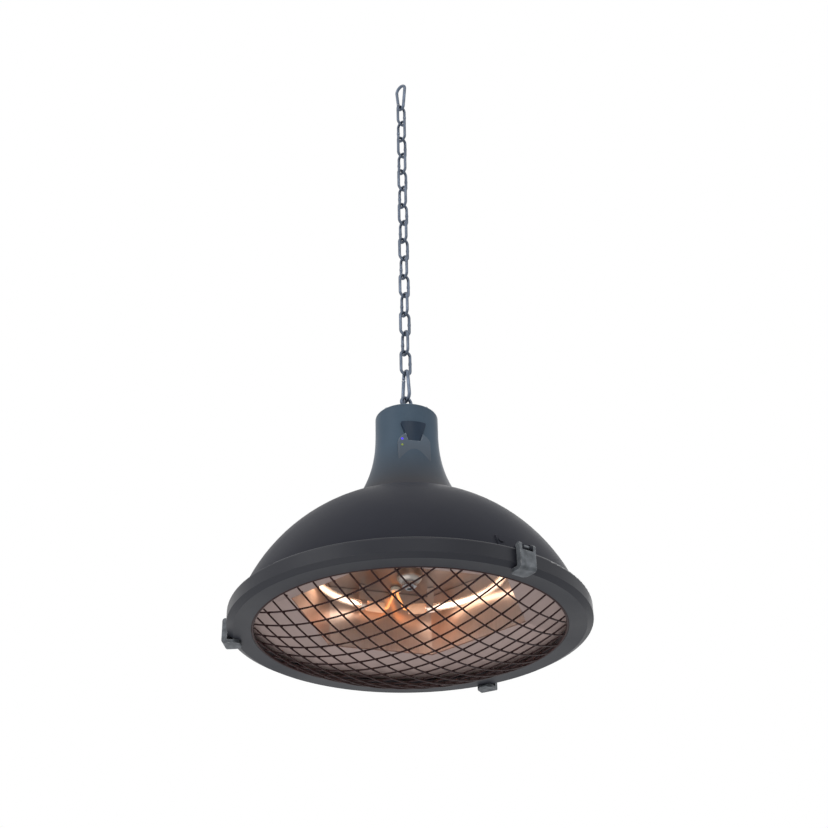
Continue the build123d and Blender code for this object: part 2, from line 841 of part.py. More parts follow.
def save_rim():
    save("dome_shell", make_dome(), heater_place)
    save("grille_ring", make_ring(), heater_place)
    save("ring_seal", make_seal(), heater_place)
    save("grille_rim_wire", Pos(0, 0, grille_level) * Torus(grille_edge, rim_wire / 2), heater_place)
    lower = make_grille_wires(grille_turn, grille_lower_shift, 0)
    upper = make_grille_wires(grille_turn - quarter_turn, grille_upper_shift, grille_wire + grille_play)
    save("grille_wires_lower", lower, heater_place)
    save("grille_wires_upper", upper, heater_place)


# Reflector

def corner_angles():
    """Angles of the reflector's corners, every other one drawn back by the skew."""
    angles = []
    for corner in range(panel_count + 1):
        turn = reflector_turn + corner * 4 * quarter_turn / panel_count - reflector_skew * (corner % 2)
        angles.append(math.radians(turn))
    return angles


def six_sides(radius, height):
    """Corners of the reflector at a height."""
    return [(radius * math.cos(angle), radius * math.sin(angle), height) for angle in corner_angles()[:-1]]


def six_wire(radius, height):
    return Wire(Polyline(*six_sides(radius, height), close=True).edges())


def round_wire(radius, height):
    """Circle made of one arc for each panel."""
    def on_circle(angle):
        return radius * math.cos(angle), radius * math.sin(angle), height

    angles = corner_angles()
    arcs = []
    for start, end in zip(angles, angles[1:]):
        arcs.append(ThreePointArc(on_circle(start), on_circle((start + end) / 2), on_circle(end)))
    return Wire(arcs)


def prism(radius, low, high):
    return extrude(Face(six_wire(radius, low)), high - low, dir=(0, 0, 1))


def skirt_solid(inward, low, high):
    """Solid under the skirt, six-sided above and round below."""
    top = six_wire(reflector_radius - inward, high)
    foot = round_wire(skirt_radius - inward, low)
    return Solid.make_loft([foot, top], ruled=True)


def make_reflector_wall():
    """Six upright panels that spread into a round skirt with a flange at its foot."""
    foot = dome_foot + sheet
    low = foot + reflector_sheet
    across = reflector_sheet / math.cos(math.pi / panel_count)
    wall = prism(reflector_radius, wall_foot, reflector_top_height)
    wall -= prism(reflector_radius - across, wall_foot - overrun, reflector_top_height + overrun)
    skirt = skirt_solid(0, low, wall_foot) - skirt_solid(across, low, wall_foot)
    flange_outer = skirt_radius + skirt_flange_width
    inner = skirt_radius - across
    flange = spin_points([(inner, foot), (flange_outer, foot), (flange_outer, low), (inner, low)])
    for place in reflector_screw_places():
        flange -= place * Cylinder(reflector_screw_radius + seat_gap, 2 * overrun)
    return wall + skirt + flange


def make_reflector_top():
    plate = prism(reflector_radius, reflector_top_height, reflector_top_height + reflector_sheet)
    plate -= Pos(0, 0, reflector_top_height) * Cylinder(rod_radius + seat_gap, 2 * overrun)
    for place in bush_places():
        plate -= place * Pos(0, 0, reflector_top_height) * Cylinder(bush_radius, 2 * overrun)
    return plate


def reflector_screw_places():
    turns = PolarLocations(reflector_screw_circle, reflector_screw_count, start_angle=reflector_turn)
    return [Pos(0, 0, dome_foot) * place for place in turns]


def make_reflector_screws():
    screws = []
    for place in reflector_screw_places():
        top = sheet + reflector_sheet
        shank = rod((0, 0, top - reflector_screw_length), (0, 0, top), reflector_screw_radius)
        head = rod((0, 0, top), (0, 0, top + reflector_head_height), reflector_head_radius)
        screws.append(place * (shank + head))
    return screws


# Central rod, hub cup, heat shield and support plate

support_top = dome_height(support_radius, sheet) - seat_gap
shield_low = plate_top + shield_lift
shield_top = shield_low + shield_thickness


def make_hub_cup():
    """Deep round cup under the reflector's top plate."""
    cup = rod((0, 0, hub_bottom), (0, 0, reflector_top_height), hub_radius)
    cup = fillet(cup.edges().group_by(Axis.Z)[0], hub_round)
    bore = rod((0, 0, hub_bottom + sheet), (0, 0, reflector_top_height + overrun), hub_radius - sheet)
    bore = fillet(bore.edges().group_by(Axis.Z)[0], hub_round - sheet)
    cup -= bore
    return cup - rod((0, 0, hub_bottom - overrun), (0, 0, hub_bottom + overrun), rod_radius + seat_gap)


def rod_nut(low, height):
    nut = hexagon(rod_nut_radius, height, Pos(0, 0, low))
    return nut - rod((0, 0, low - overrun), (0, 0, low + height + overrun), rod_radius)


def save_centre():
    rod_low = hub_bottom - rod_nut_height - rod_overhang
    rod_high = support_top + rod_nut_height + rod_overhang
    tube = rod((0, 0, rod_low), (0, 0, rod_high), rod_radius)
    tube -= rod((0, 0, rod_low - overrun), (0, 0, rod_high + overrun), rod_bore)
    save("central_rod", tube, heater_place)
    save("hub_cup", make_hub_cup(), heater_place)
    support_low = support_top - support_thickness
    nuts = [
        rod_nut(hub_bottom - rod_nut_height, rod_nut_height),
        rod_nut(plate_top, shield_lift),
        rod_nut(shield_top, rod_nut_height),
        rod_nut(support_low - rod_nut_height, rod_nut_height),
        rod_nut(support_top, rod_nut_height),
    ]
    save("rod_nuts", nuts, heater_place)
    bore = rod((0, 0, 0), (0, 0, neck_top), rod_radius + seat_gap)
    save("heat_shield", rod((0, 0, shield_low), (0, 0, shield_top), shield_radius) - bore, heater_place)
    support = rod((0, 0, support_low), (0, 0, support_top), support_radius) - bore
    for place in neck_screw_places(support_low):
        support -= place * Cylinder(neck_screw_radius + seat_gap, 2 * overrun)
    save("support_plate", support, heater_place)
    screws = []
    tip = dome_height(neck_screw_circle) + foot_flange_thickness + neck_screw_tip
    for place in neck_screw_places(support_low):
        shank = Pos(0, 0, (tip - support_low) / 2) * Cylinder(neck_screw_radius, tip - support_low)
        head = Pos(0, 0, -neck_head_height / 2) * Cylinder(neck_head_radius, neck_head_height)
        screws.append(place * (shank + head))
    save("neck_screws", screws, heater_place)
    block_place = Pos(0, block_offset, shield_top + block_height / 2)
    save("terminal_block", block_place * Box(block_width, block_depth, block_height), heater_place)


# Heating tubes

def tube_turns():
    """Turn of each tube's middle about Z."""
    step = 4 * quarter_turn / tube_count
    return [first_gap + step * (number + 1 / 2) for number in range(tube_count)]


tube_half_span = 2 * quarter_turn / tube_count - tube_gap_half


def arc_degrees(length):
    return math.degrees(length / tube_circle)


def bar_on_circle(radius, start, end, turn):
    """Round bar bent along the tubes' circle between two angles about a tube's middle."""
    face = Plane.XZ * Pos(tube_circle, tube_height) * Circle(radius)
    bar = revolve(face, Axis.Z, end - start)
    return Rotation(0, 0, turn + start) * bar


def tube_end():
    """Angle where the glass ends inside its ceramic."""
    return tube_half_span - arc_degrees(cap_length - cap_overlap)


def make_tube(turn):
    end = tube_end()
    return bar_on_circle(tube_radius, -end, end, turn) - bar_on_circle(
        tube_radius - tube_wall, -end - arc_degrees(overrun), end + arc_degrees(overrun), turn
    )


def make_end_caps():
    """Ceramic ends, each with a socket for the glass."""
    caps = []
    length = arc_degrees(cap_length)
    socket = arc_degrees(overrun)
    for turn in tube_turns():
        low = -tube_half_span
        glass = tube_end()
        cap = bar_on_circle(cap_radius, low, low + length, turn)
        caps.append(cap - bar_on_circle(tube_radius, -glass, low + length + socket, turn))
        cap = bar_on_circle(cap_radius, -low - length, -low, turn)
        caps.append(cap - bar_on_circle(tube_radius, -low - length - socket, glass, turn))
    return caps


def make_tube_clips():
    """Spring straps from the top plate, each with an open loop round a tube."""
    clips = []
    inner = tube_radius + seat_gap
    outer = inner + clip_strap
    loop = Circle(outer) - Circle(inner)
    mouth = math.radians(clip_mouth / 2)
    drop = 2 * outer
    wide = drop * math.sin(mouth)
    low = -drop * math.cos(mouth)
    wedge = make_face(Polyline((0, 0), (wide, low), (-wide, low), close=True))
    strap_high = reflector_top_height - tube_height
    strap_low = math.sqrt(outer**2 - (clip_strap / 2) ** 2) - clip_strap / 2
    strap = Pos(0, (strap_low + strap_high) / 2) * Rectangle(clip_strap, strap_high - strap_low)
    profile = loop - wedge + strap
    body = extrude(profile, clip_strap_width / 2, both=True)
    angle = tube_half_span - arc_degrees(clip_from_end)
    for turn in tube_turns():
        for side in (-angle, angle):
            place = Rotation(0, 0, turn + side) * Pos(tube_circle, 0, tube_height)
            clips.append(place * Location(Plane.XZ) * body)
    return clips


# Filament coils

def on_axis(angle):
    """Point and direction of the tube's middle line at an angle from its middle."""
    point = Vector(tube_circle * math.cos(angle), tube_circle * math.sin(angle), tube_height)
    return point, Vector(-math.sin(angle), math.cos(angle), 0)


def on_coil(turns):
    """Point and direction on the coil after a number of turns."""
    half = math.radians(coil_span_half)
    swing = 2 * half / coil_turns
    angle = -half + swing * turns
    phase = 2 * math.pi * turns
    outward = Vector(math.cos(angle), math.sin(angle), 0)
    centre, along = on_axis(angle)
    point = centre + outward * (coil_radius * math.cos(phase)) + Vector(0, 0, coil_radius * math.sin(phase))
    drift = along * (swing * (tube_circle + coil_radius * math.cos(phase)))
    whirl = outward * (-math.sin(phase)) + Vector(0, 0, math.cos(phase))
    return point, (drift + whirl * (2 * math.pi * coil_radius)).normalized()


def biarc(start, start_line, end, end_line):
    """Two arcs that leave one point and reach another along given lines."""
    chord = end - start
    both = start_line + end_line
    spread = 2 * (1 - start_line.dot(end_line))
    reach = (math.sqrt(chord.dot(both) ** 2 + spread * chord.dot(chord)) - chord.dot(both)) / spread
    first_corner = start + start_line * reach
    last_corner = end - end_line * reach
    middle = (first_corner + last_corner) * (1 / 2)
    middle_line = (last_corner - first_corner).normalized()
    return [Edge.make_tangent_arc(start, start_line, middle), Edge.make_tangent_arc(middle, middle_line, end)]


def coil_path():
    """One line: straight tail, coil, straight tail."""
    half = math.radians(coil_span_half)
    run = coil_run_out / tube_circle
    low = -math.radians(tube_half_span - arc_degrees(cap_length - cap_overlap)) + 1 / tube_circle
    tail_start, tail_line = on_axis(low)
    tail_end = tail_start + tail_line * coil_wire
    joints = [(tail_end, tail_line), on_axis(-half - run)]
    for step in range(2 * coil_turns + 1):
        joints.append(on_coil(step / 2))
    far_start, far_line = on_axis(-low)
    joints.append(on_axis(half + run))
    joints.append((far_start - far_line * coil_wire, far_line))
    edges = [Edge.make_line(tail_start, tail_end)]
    for (start, start_line), (end, end_line) in zip(joints, joints[1:]):
        edges += biarc(start, start_line, end, end_line)
    edges.append(Edge.make_line(far_start - far_line * coil_wire, far_start))
    return Wire(edges)


def coil_gap():
    """Least clear distance between neighbouring turns, measured on points."""
    first = [on_coil(1 + step / gap_samples)[0] for step in range(gap_samples)]
    second = [on_coil(2 + step / gap_samples)[0] for step in range(-gap_samples // 2, gap_samples)]
    gaps = []
    for index, point in enumerate(first):
        for place, other in enumerate(second, start=gap_samples // 2):
            if place - index > gap_samples // 4:
                gaps.append((point - other).length)
    return min(gaps) - coil_wire


def make_filament():
    path = coil_path()
    start = path @ 0
    section = Plane(origin=start, z_dir=path % 0) * Circle(coil_wire / 2)
    return sweep(section, path)


def save_tubes():
    filament = make_filament()
    save("quartz_tubes", [make_tube(turn) for turn in tube_turns()], heater_place)
    save("filaments", [Rotation(0, 0, turn) * filament for turn in tube_turns()], heater_place)
    save("tube_end_caps", make_end_caps(), heater_place)
    save("tube_clips", make_tube_clips(), heater_place)
    print("least gap between turns of a filament", round(coil_gap(), 2))


# Sleeved leads and bushes

def gap_turns():
    return [first_gap + 4 * quarter_turn / tube_count * number for number in range(tube_count)]


def bush_places():
    return [Rotation(0, 0, turn) * Pos(tube_circle, 0, 0) for turn in gap_turns()]


def lead_route(number, side):
    """Corners of one lead from a tube's ceramic to the terminal block."""
    turn = Rotation(0, 0, gap_turns()[number])
    centre = tube_circle * math.cos(tube_end_angle)
    aside = side * tube_circle * math.sin(tube_end_angle)
    run_x = lead_run * math.sin(tube_end_angle)
    run_y = side * lead_run * math.cos(tube_end_angle)
    apex = reflector_top_height - lead_apex_drop
    local = [
        (centre, aside, tube_height),
        (centre + run_x, aside - run_y, tube_height),
        (tube_circle, side * lead_spread, apex),
        (tube_circle, side * lead_spread, lead_level),
    ]
    route = [(turn * Pos(*point)).position for point in local]
    back = block_offset + block_depth / 2
    edge = block_width / 2
    if number == 0:
        route.append(Vector(route[-1].X, back, lead_level))
    if number == 1:
        row = block_offset + side * lead_spread
        route.append(Vector(-edge - lead_approach, row, lead_level))
        route.append(Vector(-edge, row, lead_level))
    if number == 2:
        row = block_offset + side * lead_spread
        route.append(Vector(edge + lead_approach, row, lead_level))
        route.append(Vector(edge, row, lead_level))
    return route


def make_leads():
    leads = []
    for number in range(tube_count):
        for side in (-1, 1):
            route = lead_route(number, side)
            bends = [lead_small_bend / 2, lead_small_bend] + [lead_bend] * (len(route) - 4)
            path = FilletPolyline(*route, radius=bends)
            section = Plane(origin=path @ 0, z_dir=path % 0) * Circle(lead_radius)
            leads.append(sweep(section, path))
    return leads


def make_bushes():
    bushes = []
    low = reflector_top_height - bush_below
    high = plate_top + bush_above
    for place in bush_places():
        bush = Pos(0, 0, (low + high) / 2) * Cylinder(bush_radius, high - low)
        for side in (-lead_spread, lead_spread):
            bush -= Pos(0, side, low) * Cylinder(lead_radius + seat_gap, 2 * (high - low) + overrun)
        bushes.append(place * bush)
    return bushes


def save_leads():
    save("lamp_leads", make_leads(), heater_place)
    save("lead_bushes", make_bushes(), heater_place)


# Claw clips

dome_ball = ball(dome_radius, -dome_centre_depth)
base_middle = (base_low + base_high) / 2
base_lean = math.degrees(math.asin((base_middle + dome_centre_depth) / dome_radius))


def rivet_bar(side, radius, start, end):
    """Round bar square to the dome's skin at one rivet, from one depth to another."""
    around = math.degrees(math.asin(side / dome_reach(base_middle)))
    place = Rotation(0, 0, around) * Rotation(0, -base_lean, 0)
    bar = rod((dome_radius + start, 0, 0), (dome_radius + end, 0, 0), radius)
    return Pos(0, 0, -dome_centre_depth) * place * bar


def make_clip_base():
    """Riveted plate that follows the dome, with two ears for the pin."""
    depth = base_thickness + overrun
    plate = Box(depth, 2 * base_half_width, base_high - base_low)
    reach = dome_reach(base_middle) + base_thickness - depth / 3
    plate = Pos(reach, 0, base_middle) * Rotation(0, -base_lean, 0) * plate
    plate = (plate & ball(dome_radius + base_thickness, -dome_centre_depth)) - dome_ball
    ear_middle = claw_half_width - claw_flange - ear_play - ear_thickness / 2
    root = dome_reach(base_high)
    stem_low = ring_top + ear_gap
    stem_height = pin_height + ear_radius - stem_low
    stem = Box(pin_reach - root, ear_thickness, stem_height, align=(Align.MIN, Align.CENTER, Align.MIN))
    stem = Pos(root, 0, stem_low) * stem
    nose = Pos(pin_reach, 0, pin_height) * Rotation(quarter_turn, 0, 0) * Cylinder(ear_radius, ear_thickness)
    ear = stem + nose - dome_ball
    base = plate + Pos(0, ear_middle, 0) * ear + Pos(0, -ear_middle, 0) * ear
    base -= pin_bar(pin_radius, claw_half_width)
    for side in (-rivet_side, rivet_side):
        base -= rivet_bar(side, rivet_radius, -overrun, 2 * overrun)
    return base


def pin_bar(radius, half_length):
    return rod((pin_reach, -half_length, pin_height), (pin_reach, half_length, pin_height), radius)


def claw_outline():
    """Side view of the claw: leg outside the ring and hook below it."""
    hook_top = ring_bottom - claw_hook_gap
    hook_low = hook_top - claw_hook_height
    leg = Polyline(
        (claw_inner, pin_height),
        (claw_inner, hook_top),
        (claw_hook_reach, hook_top),
        (claw_hook_reach, hook_low),
        (claw_outer, hook_low),
        (claw_outer, pin_height),
        close=True,
    )
    face = make_face(leg)
    outer_corner = face.vertices().sort_by(Axis.Y)[:2].sort_by(Axis.X)
    face = fillet(outer_corner[-1], claw_corner_share * claw_hook_height)
    tips = face.vertices().group_by(Axis.X)[0]
    face = fillet(tips, claw_tip_share * claw_hook_height)
    return face + Pos(pin_reach, pin_height) * Circle(claw_boss_radius)


def claw_plan():
    """Top view of the claw: straight sides and a rounded toe."""
    length = claw_outer + claw_boss_radius - claw_hook_reach
    face = Rectangle(length, 2 * claw_half_width, align=(Align.MIN, Align.CENTER))
    face = fillet(face.vertices().group_by(Axis.X)[0], claw_toe_radius)
    return Pos(claw_hook_reach, 0) * face


def make_claw():
    """Bent sheet claw with two side flanges, a plate between them and a round-toed hook."""
    side = claw_outline()
    full = Location(Plane.XZ) * extrude(side, claw_half_width, both=True)
    full &= extrude(claw_plan(), pin_height + claw_outer, both=True)
    inner_half = claw_half_width - claw_flange
    room_low = ring_bottom - claw_hook_gap
    room = Pos(claw_outer - claw_plate, 0, room_low) * Box(
        ring_radius, 2 * inner_half, 2 * pin_height, align=(Align.MAX, Align.CENTER, Align.MIN)
    )
    above = Pos(claw_outer, 0, claw_plate_top) * Box(
        2 * ring_radius, 2 * inner_half, 2 * pin_height, align=(Align.CENTER, Align.CENTER, Align.MIN)
    )
    claw = full - room - above
    return claw - pin_bar(pin_radius + turn_gap, claw_half_width + overrun)


def make_rivets():
    rivets = []
    for side in (-rivet_side, rivet_side):
        shank = rivet_bar(side, rivet_radius, -sheet, base_thickness)
        head = rivet_bar(side, rivet_head_radius, base_thickness, base_thickness + rivet_head_height)
        rivets.append(shank + head)
    return rivets


def save_clips():
    bases = []
    pins = []
    rivets = []
    claw = make_claw()
    for number, bearing in enumerate(clip_bearings, start=1):
        place = bearing_turn(bearing)
        bases.append(place * make_clip_base())
        pins.append(place * pin_bar(pin_radius, claw_half_width + turn_gap))
        rivets += [place * rivet for rivet in make_rivets()]
        save(f"clip_claw_{number}", place * claw, heater_place)
    save("clip_bases", bases, heater_place)
    save("clip_pins", pins, heater_place)
    save("clip_rivets", rivets, heater_place)


def save_reflector():
    save("reflector_pan", make_reflector_wall() + make_reflector_top(), heater_place)
    save("reflector_screws", make_reflector_screws(), heater_place)


def main():
    os.makedirs("parts", exist_ok=True)
    save_chain()
    save_hooks()
    save_neck()
    save_receiver()
    save_rim()
    save_reflector()
    save_centre()
    save_tubes()
    save_leads()
    save_clips()


main()
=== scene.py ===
import json
import math

import bmesh
import bpy
from mathutils import Matrix, Vector


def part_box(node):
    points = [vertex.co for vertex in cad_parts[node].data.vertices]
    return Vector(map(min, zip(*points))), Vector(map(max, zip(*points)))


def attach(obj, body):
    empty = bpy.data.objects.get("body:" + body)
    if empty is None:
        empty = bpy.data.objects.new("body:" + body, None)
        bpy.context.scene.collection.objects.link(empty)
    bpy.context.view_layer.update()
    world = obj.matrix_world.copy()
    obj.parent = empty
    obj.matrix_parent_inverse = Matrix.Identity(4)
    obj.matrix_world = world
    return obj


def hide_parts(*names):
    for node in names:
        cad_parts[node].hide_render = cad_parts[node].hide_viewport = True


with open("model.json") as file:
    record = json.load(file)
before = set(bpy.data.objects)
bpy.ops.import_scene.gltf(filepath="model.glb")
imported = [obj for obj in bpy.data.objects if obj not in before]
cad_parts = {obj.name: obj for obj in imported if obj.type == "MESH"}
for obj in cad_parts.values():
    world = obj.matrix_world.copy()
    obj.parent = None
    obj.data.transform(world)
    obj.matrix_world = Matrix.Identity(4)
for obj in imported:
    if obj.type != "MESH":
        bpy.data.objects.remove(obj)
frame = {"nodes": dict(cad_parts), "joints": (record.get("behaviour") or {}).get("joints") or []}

bl_info = {
    "name": "Hanging Patio Heater",
    "version": (1, 0, 0),
    "blender": (4, 5, 0),
    "location": "View3D > Sidebar > Heater",
    "description": "Finishes, weld beads, pilot lights, studio and camera for a hanging patio heater",
    "category": "Object",
}

JOINTS = {joint["name"]: joint for joint in frame["joints"]}
LINKS = sorted(name for name in frame["nodes"] if name.startswith("chain_link_"))
CLAWS = sorted(name for name in frame["nodes"] if name.startswith("clip_claw_"))
TUBE_CENTRE = (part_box("quartz_tubes")[0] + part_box("quartz_tubes")[1]) / 2
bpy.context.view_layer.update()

# Depths of the fine relief on enamel, plating and polished sheet, in metres

ENAMEL_RELIEF = 0.00006
PLATING_RELIEF = 0.00005
POLISH_RELIEF = 0.0000015

# Radius of the circle in which the tubes lie, in metres

TUBE_CIRCLE = 0.114

# Colours of the smaller pieces, of worn edges, and of painted highlight and glow

WORN_ENAMEL = (0.06, 0.062, 0.068)
# Painted highlight on the panel's upper edges, not wear
PANEL_EDGE_HIGHLIGHT = (0.26, 0.3, 0.34)
WORN_RING = (0.03, 0.031, 0.035)
WORN_GRILLE = (0.05, 0.035, 0.033)
WORN_CHAIN = (0.42, 0.45, 0.5)
WORN_HOOK = (0.5, 0.53, 0.58)
WORN_CLIP = (0.42, 0.42, 0.42)
PIN_STEEL = (0.32, 0.33, 0.35)
WORN_PIN = (0.6, 0.6, 0.62)
ZINC = (0.45, 0.46, 0.48)
WORN_ZINC = (0.75, 0.75, 0.77)
SUPPORT_STEEL = (0.4, 0.36, 0.32)
WORN_SUPPORT = (0.7, 0.65, 0.6)
SHIELD_STEEL = (0.7, 0.7, 0.72)
HOT_SHIELD = (0.7, 0.6, 0.5)
BLACK_NYLON = (0.022, 0.022, 0.024)
BLACK_RUBBER = (0.015, 0.015, 0.015)
GLASS_FIBRE = (0.3, 0.28, 0.25)
DARK_WINDOW = (0.020, 0.034, 0.056)
BOARD_GREEN = (0.02, 0.13, 0.06)
BLUE_LIGHT = (0.09, 0.05, 1.0)
GREEN_LIGHT = (0.42, 0.55, 0.08)
STEATITE = (0.62, 0.56, 0.47)
# Painted glow: the orange that the filaments' light gives the end caps
STEATITE_PAINTED_GLOW = (0.66, 0.36, 0.22)
# Orange of the lead sleeves, also given off as their painted glow
WOVEN_SLEEVE = (0.92, 0.36, 0.13)
SLEEVE_EDGE = (1.0, 0.42, 0.16)
QUARTZ = (1.0, 0.78, 0.6)
PALE_QUARTZ = (1.0, 0.88, 0.75)
FLOOR_GREY = (0.86, 0.86, 0.86)
FLOOR_WHITE = (0.9, 0.9, 0.9)
SKY = (0.94, 0.97, 1.0, 1.0)
WHITE = (1.0, 1.0, 1.0, 1.0)
BLACK = (0.0, 0.0, 0.0, 1.0)

# Sockets of Blender's colour mix, which has the same names for its numbers and its colours

MIX_SHARE, MIX_FIRST, MIX_SECOND, MIX_RESULT = 0, 6, 7, 2


# Settings

def colour_setting(name, description, default):
    return bpy.props.FloatVectorProperty(
        name=name, description=description, subtype="COLOR", size=3, min=0.0, max=1.0, default=default
    )


def length_setting(name, description, default):
    return bpy.props.FloatProperty(
        name=name,
        description=description,
        unit="LENGTH",
        subtype="DISTANCE",
        precision=5,
        min=0.0,
        default=default,
    )


def share_setting(name, description, default):
    return bpy.props.FloatProperty(
        name=name, description=description, subtype="FACTOR", min=0.0, max=1.0, default=default
    )


def amount_setting(name, description, default):
    return bpy.props.FloatProperty(
        name=name, description=description, subtype="NONE", min=0.0, default=default
    )


class HeaterFinish(bpy.types.PropertyGroup):
    """Colours and levels of the heater's finishes."""

    dome_colour: colour_setting("Dome", "Slate enamel of the dome", (0.026, 0.027, 0.035))
    neck_colour: colour_setting("Neck", "Blue-grey enamel of the neck", (0.062, 0.092, 0.126))
    # Painted shade: the neck turns darker and greyer towards its foot
    foot_shade_colour: colour_setting("Neck foot", "Greyer enamel low on the neck", (0.044, 0.044, 0.050))
    panel_colour: colour_setting("Panel", "Enamel of the receiver's panel", (0.068, 0.092, 0.122))
    ring_colour: colour_setting("Ring", "Near-black enamel of the rim ring", (0.019, 0.020, 0.026))
    wire_colour: colour_setting("Grille", "Heat-browned enamel of the grille", (0.030, 0.013, 0.013))
    chain_colour: colour_setting("Chain", "Dark plating of the chain and hooks", (0.105, 0.128, 0.170))
    clip_colour: colour_setting("Clips", "Weathered plating of the claw clips", (0.100, 0.108, 0.118))
    mirror_colour: colour_setting("Reflector", "Polished sheet of the reflector", (0.86, 0.80, 0.79))
    skirt_colour: colour_setting("Skirt", "Duller sheet of the reflector's skirt", (0.46, 0.355, 0.33))
    hub_colour: colour_setting("Hub", "Heat-darkened sheet of the hub cup", (0.38, 0.34, 0.31))
    top_colour: colour_setting("Reflector top", "Browned sheet above the tubes", (0.23, 0.195, 0.18))
    # Heat tint near the tubes, with the warm glow of their light on the reflector painted in as well
    heat_tint_and_glow_colour: colour_setting("Heat tint", "Tint of the reflector near the tubes", (0.95, 0.70, 0.54))
    glow_colour: colour_setting("Glow", "Light that the filaments throw", (1.0, 0.70, 0.50))
    glow_strength: amount_setting("Glow strength", "How much light the filaments throw", 3.6)
    hot_colour: colour_setting("Hot wire", "Colour of the filaments themselves", (1.0, 0.90, 0.80))
    dust_colour: colour_setting("Dust colour", "Colour of the settled dust", (0.22, 0.21, 0.19))
    dust_amount: share_setting("Dust", "How much dust lies on faces that look up", 0.05)
    coat_roughness: share_setting("Enamel roughness", "Roughness of the satin enamel", 0.42)
    skirt_roughness: share_setting("Skirt roughness", "Roughness of the reflector's skirt", 0.5)
    # Share and reach of that heat tint and painted glow
    heat_tint_and_glow_share: share_setting("Heat share", "How far the tubes tint the reflector", 0.7)
    heat_tint_and_glow_reach: length_setting("Heat reach", "How far from the tubes the tint reaches", 0.05)
    skirt_height: length_setting("Skirt height", "Height of the fold above the reflector's foot", 0.0166)
    fade_start: length_setting("Fade start", "Height above the neck's foot where it turns bluer", 0.01)
    fade_end: share_setting("Fade end", "Share of the neck's height where it is at its bluest", 0.6)


class HeaterDetail(bpy.types.PropertyGroup):
    """Sizes of the small details."""

    bead_radius: length_setting("Bead radius", "Radius of a weld bead where wires cross", 0.0013)
    wire_spacing: length_setting("Wire spacing", "Distance between neighbouring grille wires", 0.0222)
    lower_shift: length_setting("Lower shift", "Offset of the lower wires from the middle", 0.0031)
    upper_shift: length_setting("Upper shift", "Offset of the upper wires from the middle", 0.0060)
    wire_turn: bpy.props.FloatProperty(
        name="Wire turn",
        description="Turn of the lower wires about the middle axis",
        subtype="ANGLE",
        default=math.radians(54.8),
    )
    rim_wire_radius: length_setting("Rim wire radius", "Radius of the grille's rim wire", 0.0015)
    wire_radius: length_setting("Wire radius", "Radius of the grille's crossing wires", 0.001)
    weld_radius: length_setting("Link weld radius", "Radius of the swelling at a link's weld", 0.00235)
    weld_length: length_setting("Link weld length", "Length of the swelling at a link's weld", 0.0055)
    link_wire_radius: length_setting("Link wire radius", "Radius of the chain's wire", 0.002)
    link_half_width: length_setting("Link half width", "From a link's middle to its wire's", 0.00675)
    light_radius: length_setting("Light radius", "Radius of a pilot light", 0.0015)
    # Painted shadow: a dark bead that stands for the shadow in the gap at the neck's foot
    shadow_seam_radius: length_setting("Seam radius", "Radius of the sealing bead round the neck's foot", 0.0006)
    glow_radius: length_setting("Glow radius", "Radius of the bright sleeve round a filament", 0.0035)
    glow_reach: bpy.props.FloatProperty(
        name="Glow reach",
        description="How far the bright sleeve runs to each side of a tube's middle",
        subtype="ANGLE",
        default=math.radians(35.5),
    )


class HeaterStage(bpy.types.PropertyGroup):
    """Camera, floor and lamps."""

    camera_place: bpy.props.FloatVectorProperty(
        name="Camera place",
        description="Where the camera stands",
        subtype="TRANSLATION",
        unit="LENGTH",
        size=3,
        default=(0.009626, -1.43496, -1.444155),
    )
    camera_pitch: bpy.props.FloatProperty(
        name="Camera pitch",
        description="How far the camera looks up",
        subtype="ANGLE",
        default=0.546124,
    )
    camera_roll: bpy.props.FloatProperty(
        name="Camera roll",
        description="Turn of the picture about the line of sight",
        subtype="ANGLE",
        default=0.021168,
    )
    lens: bpy.props.FloatProperty(
        name="Lens",
        description="Focal length in millimetres",
        unit="CAMERA",
        default=57.326,
    )
    sensor_width: amount_setting("Sensor width", "Width of the camera's sensor in millimetres", 36.0)
    floor_height: bpy.props.FloatProperty(
        name="Floor height",
        description="Height of the floor",
        unit="LENGTH",
        subtype="DISTANCE",
        default=-2.75,
    )
    floor_reach: length_setting("Floor reach", "From the floor's middle to its sides", 9.0)
    aim_drop: length_setting("Aim drop", "How far below the top hook the lamps are aimed", 0.7)
    world_light: amount_setting("World light", "Strength of the even light all round", 0.62)
    lamp_power: amount_setting("Lamp power", "Power of the largest lamp in watts", 26.0)


# Shader building

def put(tree, kind, settings=None, **values):
    """Add a node, set its settings, and give plain values or links to its inputs."""
    node = tree.nodes.new(kind)
    for key, value in (settings or {}).items():
        setattr(node, key, value)
    for key, value in values.items():
        feed(tree, node.inputs[key.replace("_", " ")], value)
    return node


def feed(tree, socket, value):
    if isinstance(value, bpy.types.NodeSocket):
        tree.links.new(value, socket)
    else:
        socket.default_value = value


def calculate(tree, operation, first, second):
    node = tree.nodes.new("ShaderNodeMath")
    node.operation = operation
    feed(tree, node.inputs[0], first)
    feed(tree, node.inputs[1], second)
    return node.outputs[0]


def remap(tree, value, low, high, new_low, new_high):
    ends = {"From_Min": low, "From_Max": high, "To_Min": new_low, "To_Max": new_high}
    return put(tree, "ShaderNodeMapRange", Value=value, **ends).outputs["Result"]


def multiply(tree, first, second):
    return calculate(tree, "MULTIPLY", first, second)


def opposite(tree, mask):
    return calculate(tree, "SUBTRACT", 1.0, mask)


def blend_colour(tree, mask, first, second):
    node = tree.nodes.new("ShaderNodeMix")
    node.data_type = "RGBA"
    feed(tree, node.inputs[MIX_SHARE], mask)
    for place, value in ((MIX_FIRST, first), (MIX_SECOND, second)):
        linked = isinstance(value, bpy.types.NodeSocket)
        feed(tree, node.inputs[place], value if linked else (*value, 1.0))
    return node.outputs[MIX_RESULT]


def drifting(tree, mask, colour, spread):
    """Colour that a mask takes from a darker to a lighter tone."""
    return blend_colour(tree, mask, scaled(colour, 1.0 - spread), scaled(colour, 1.0 + spread))


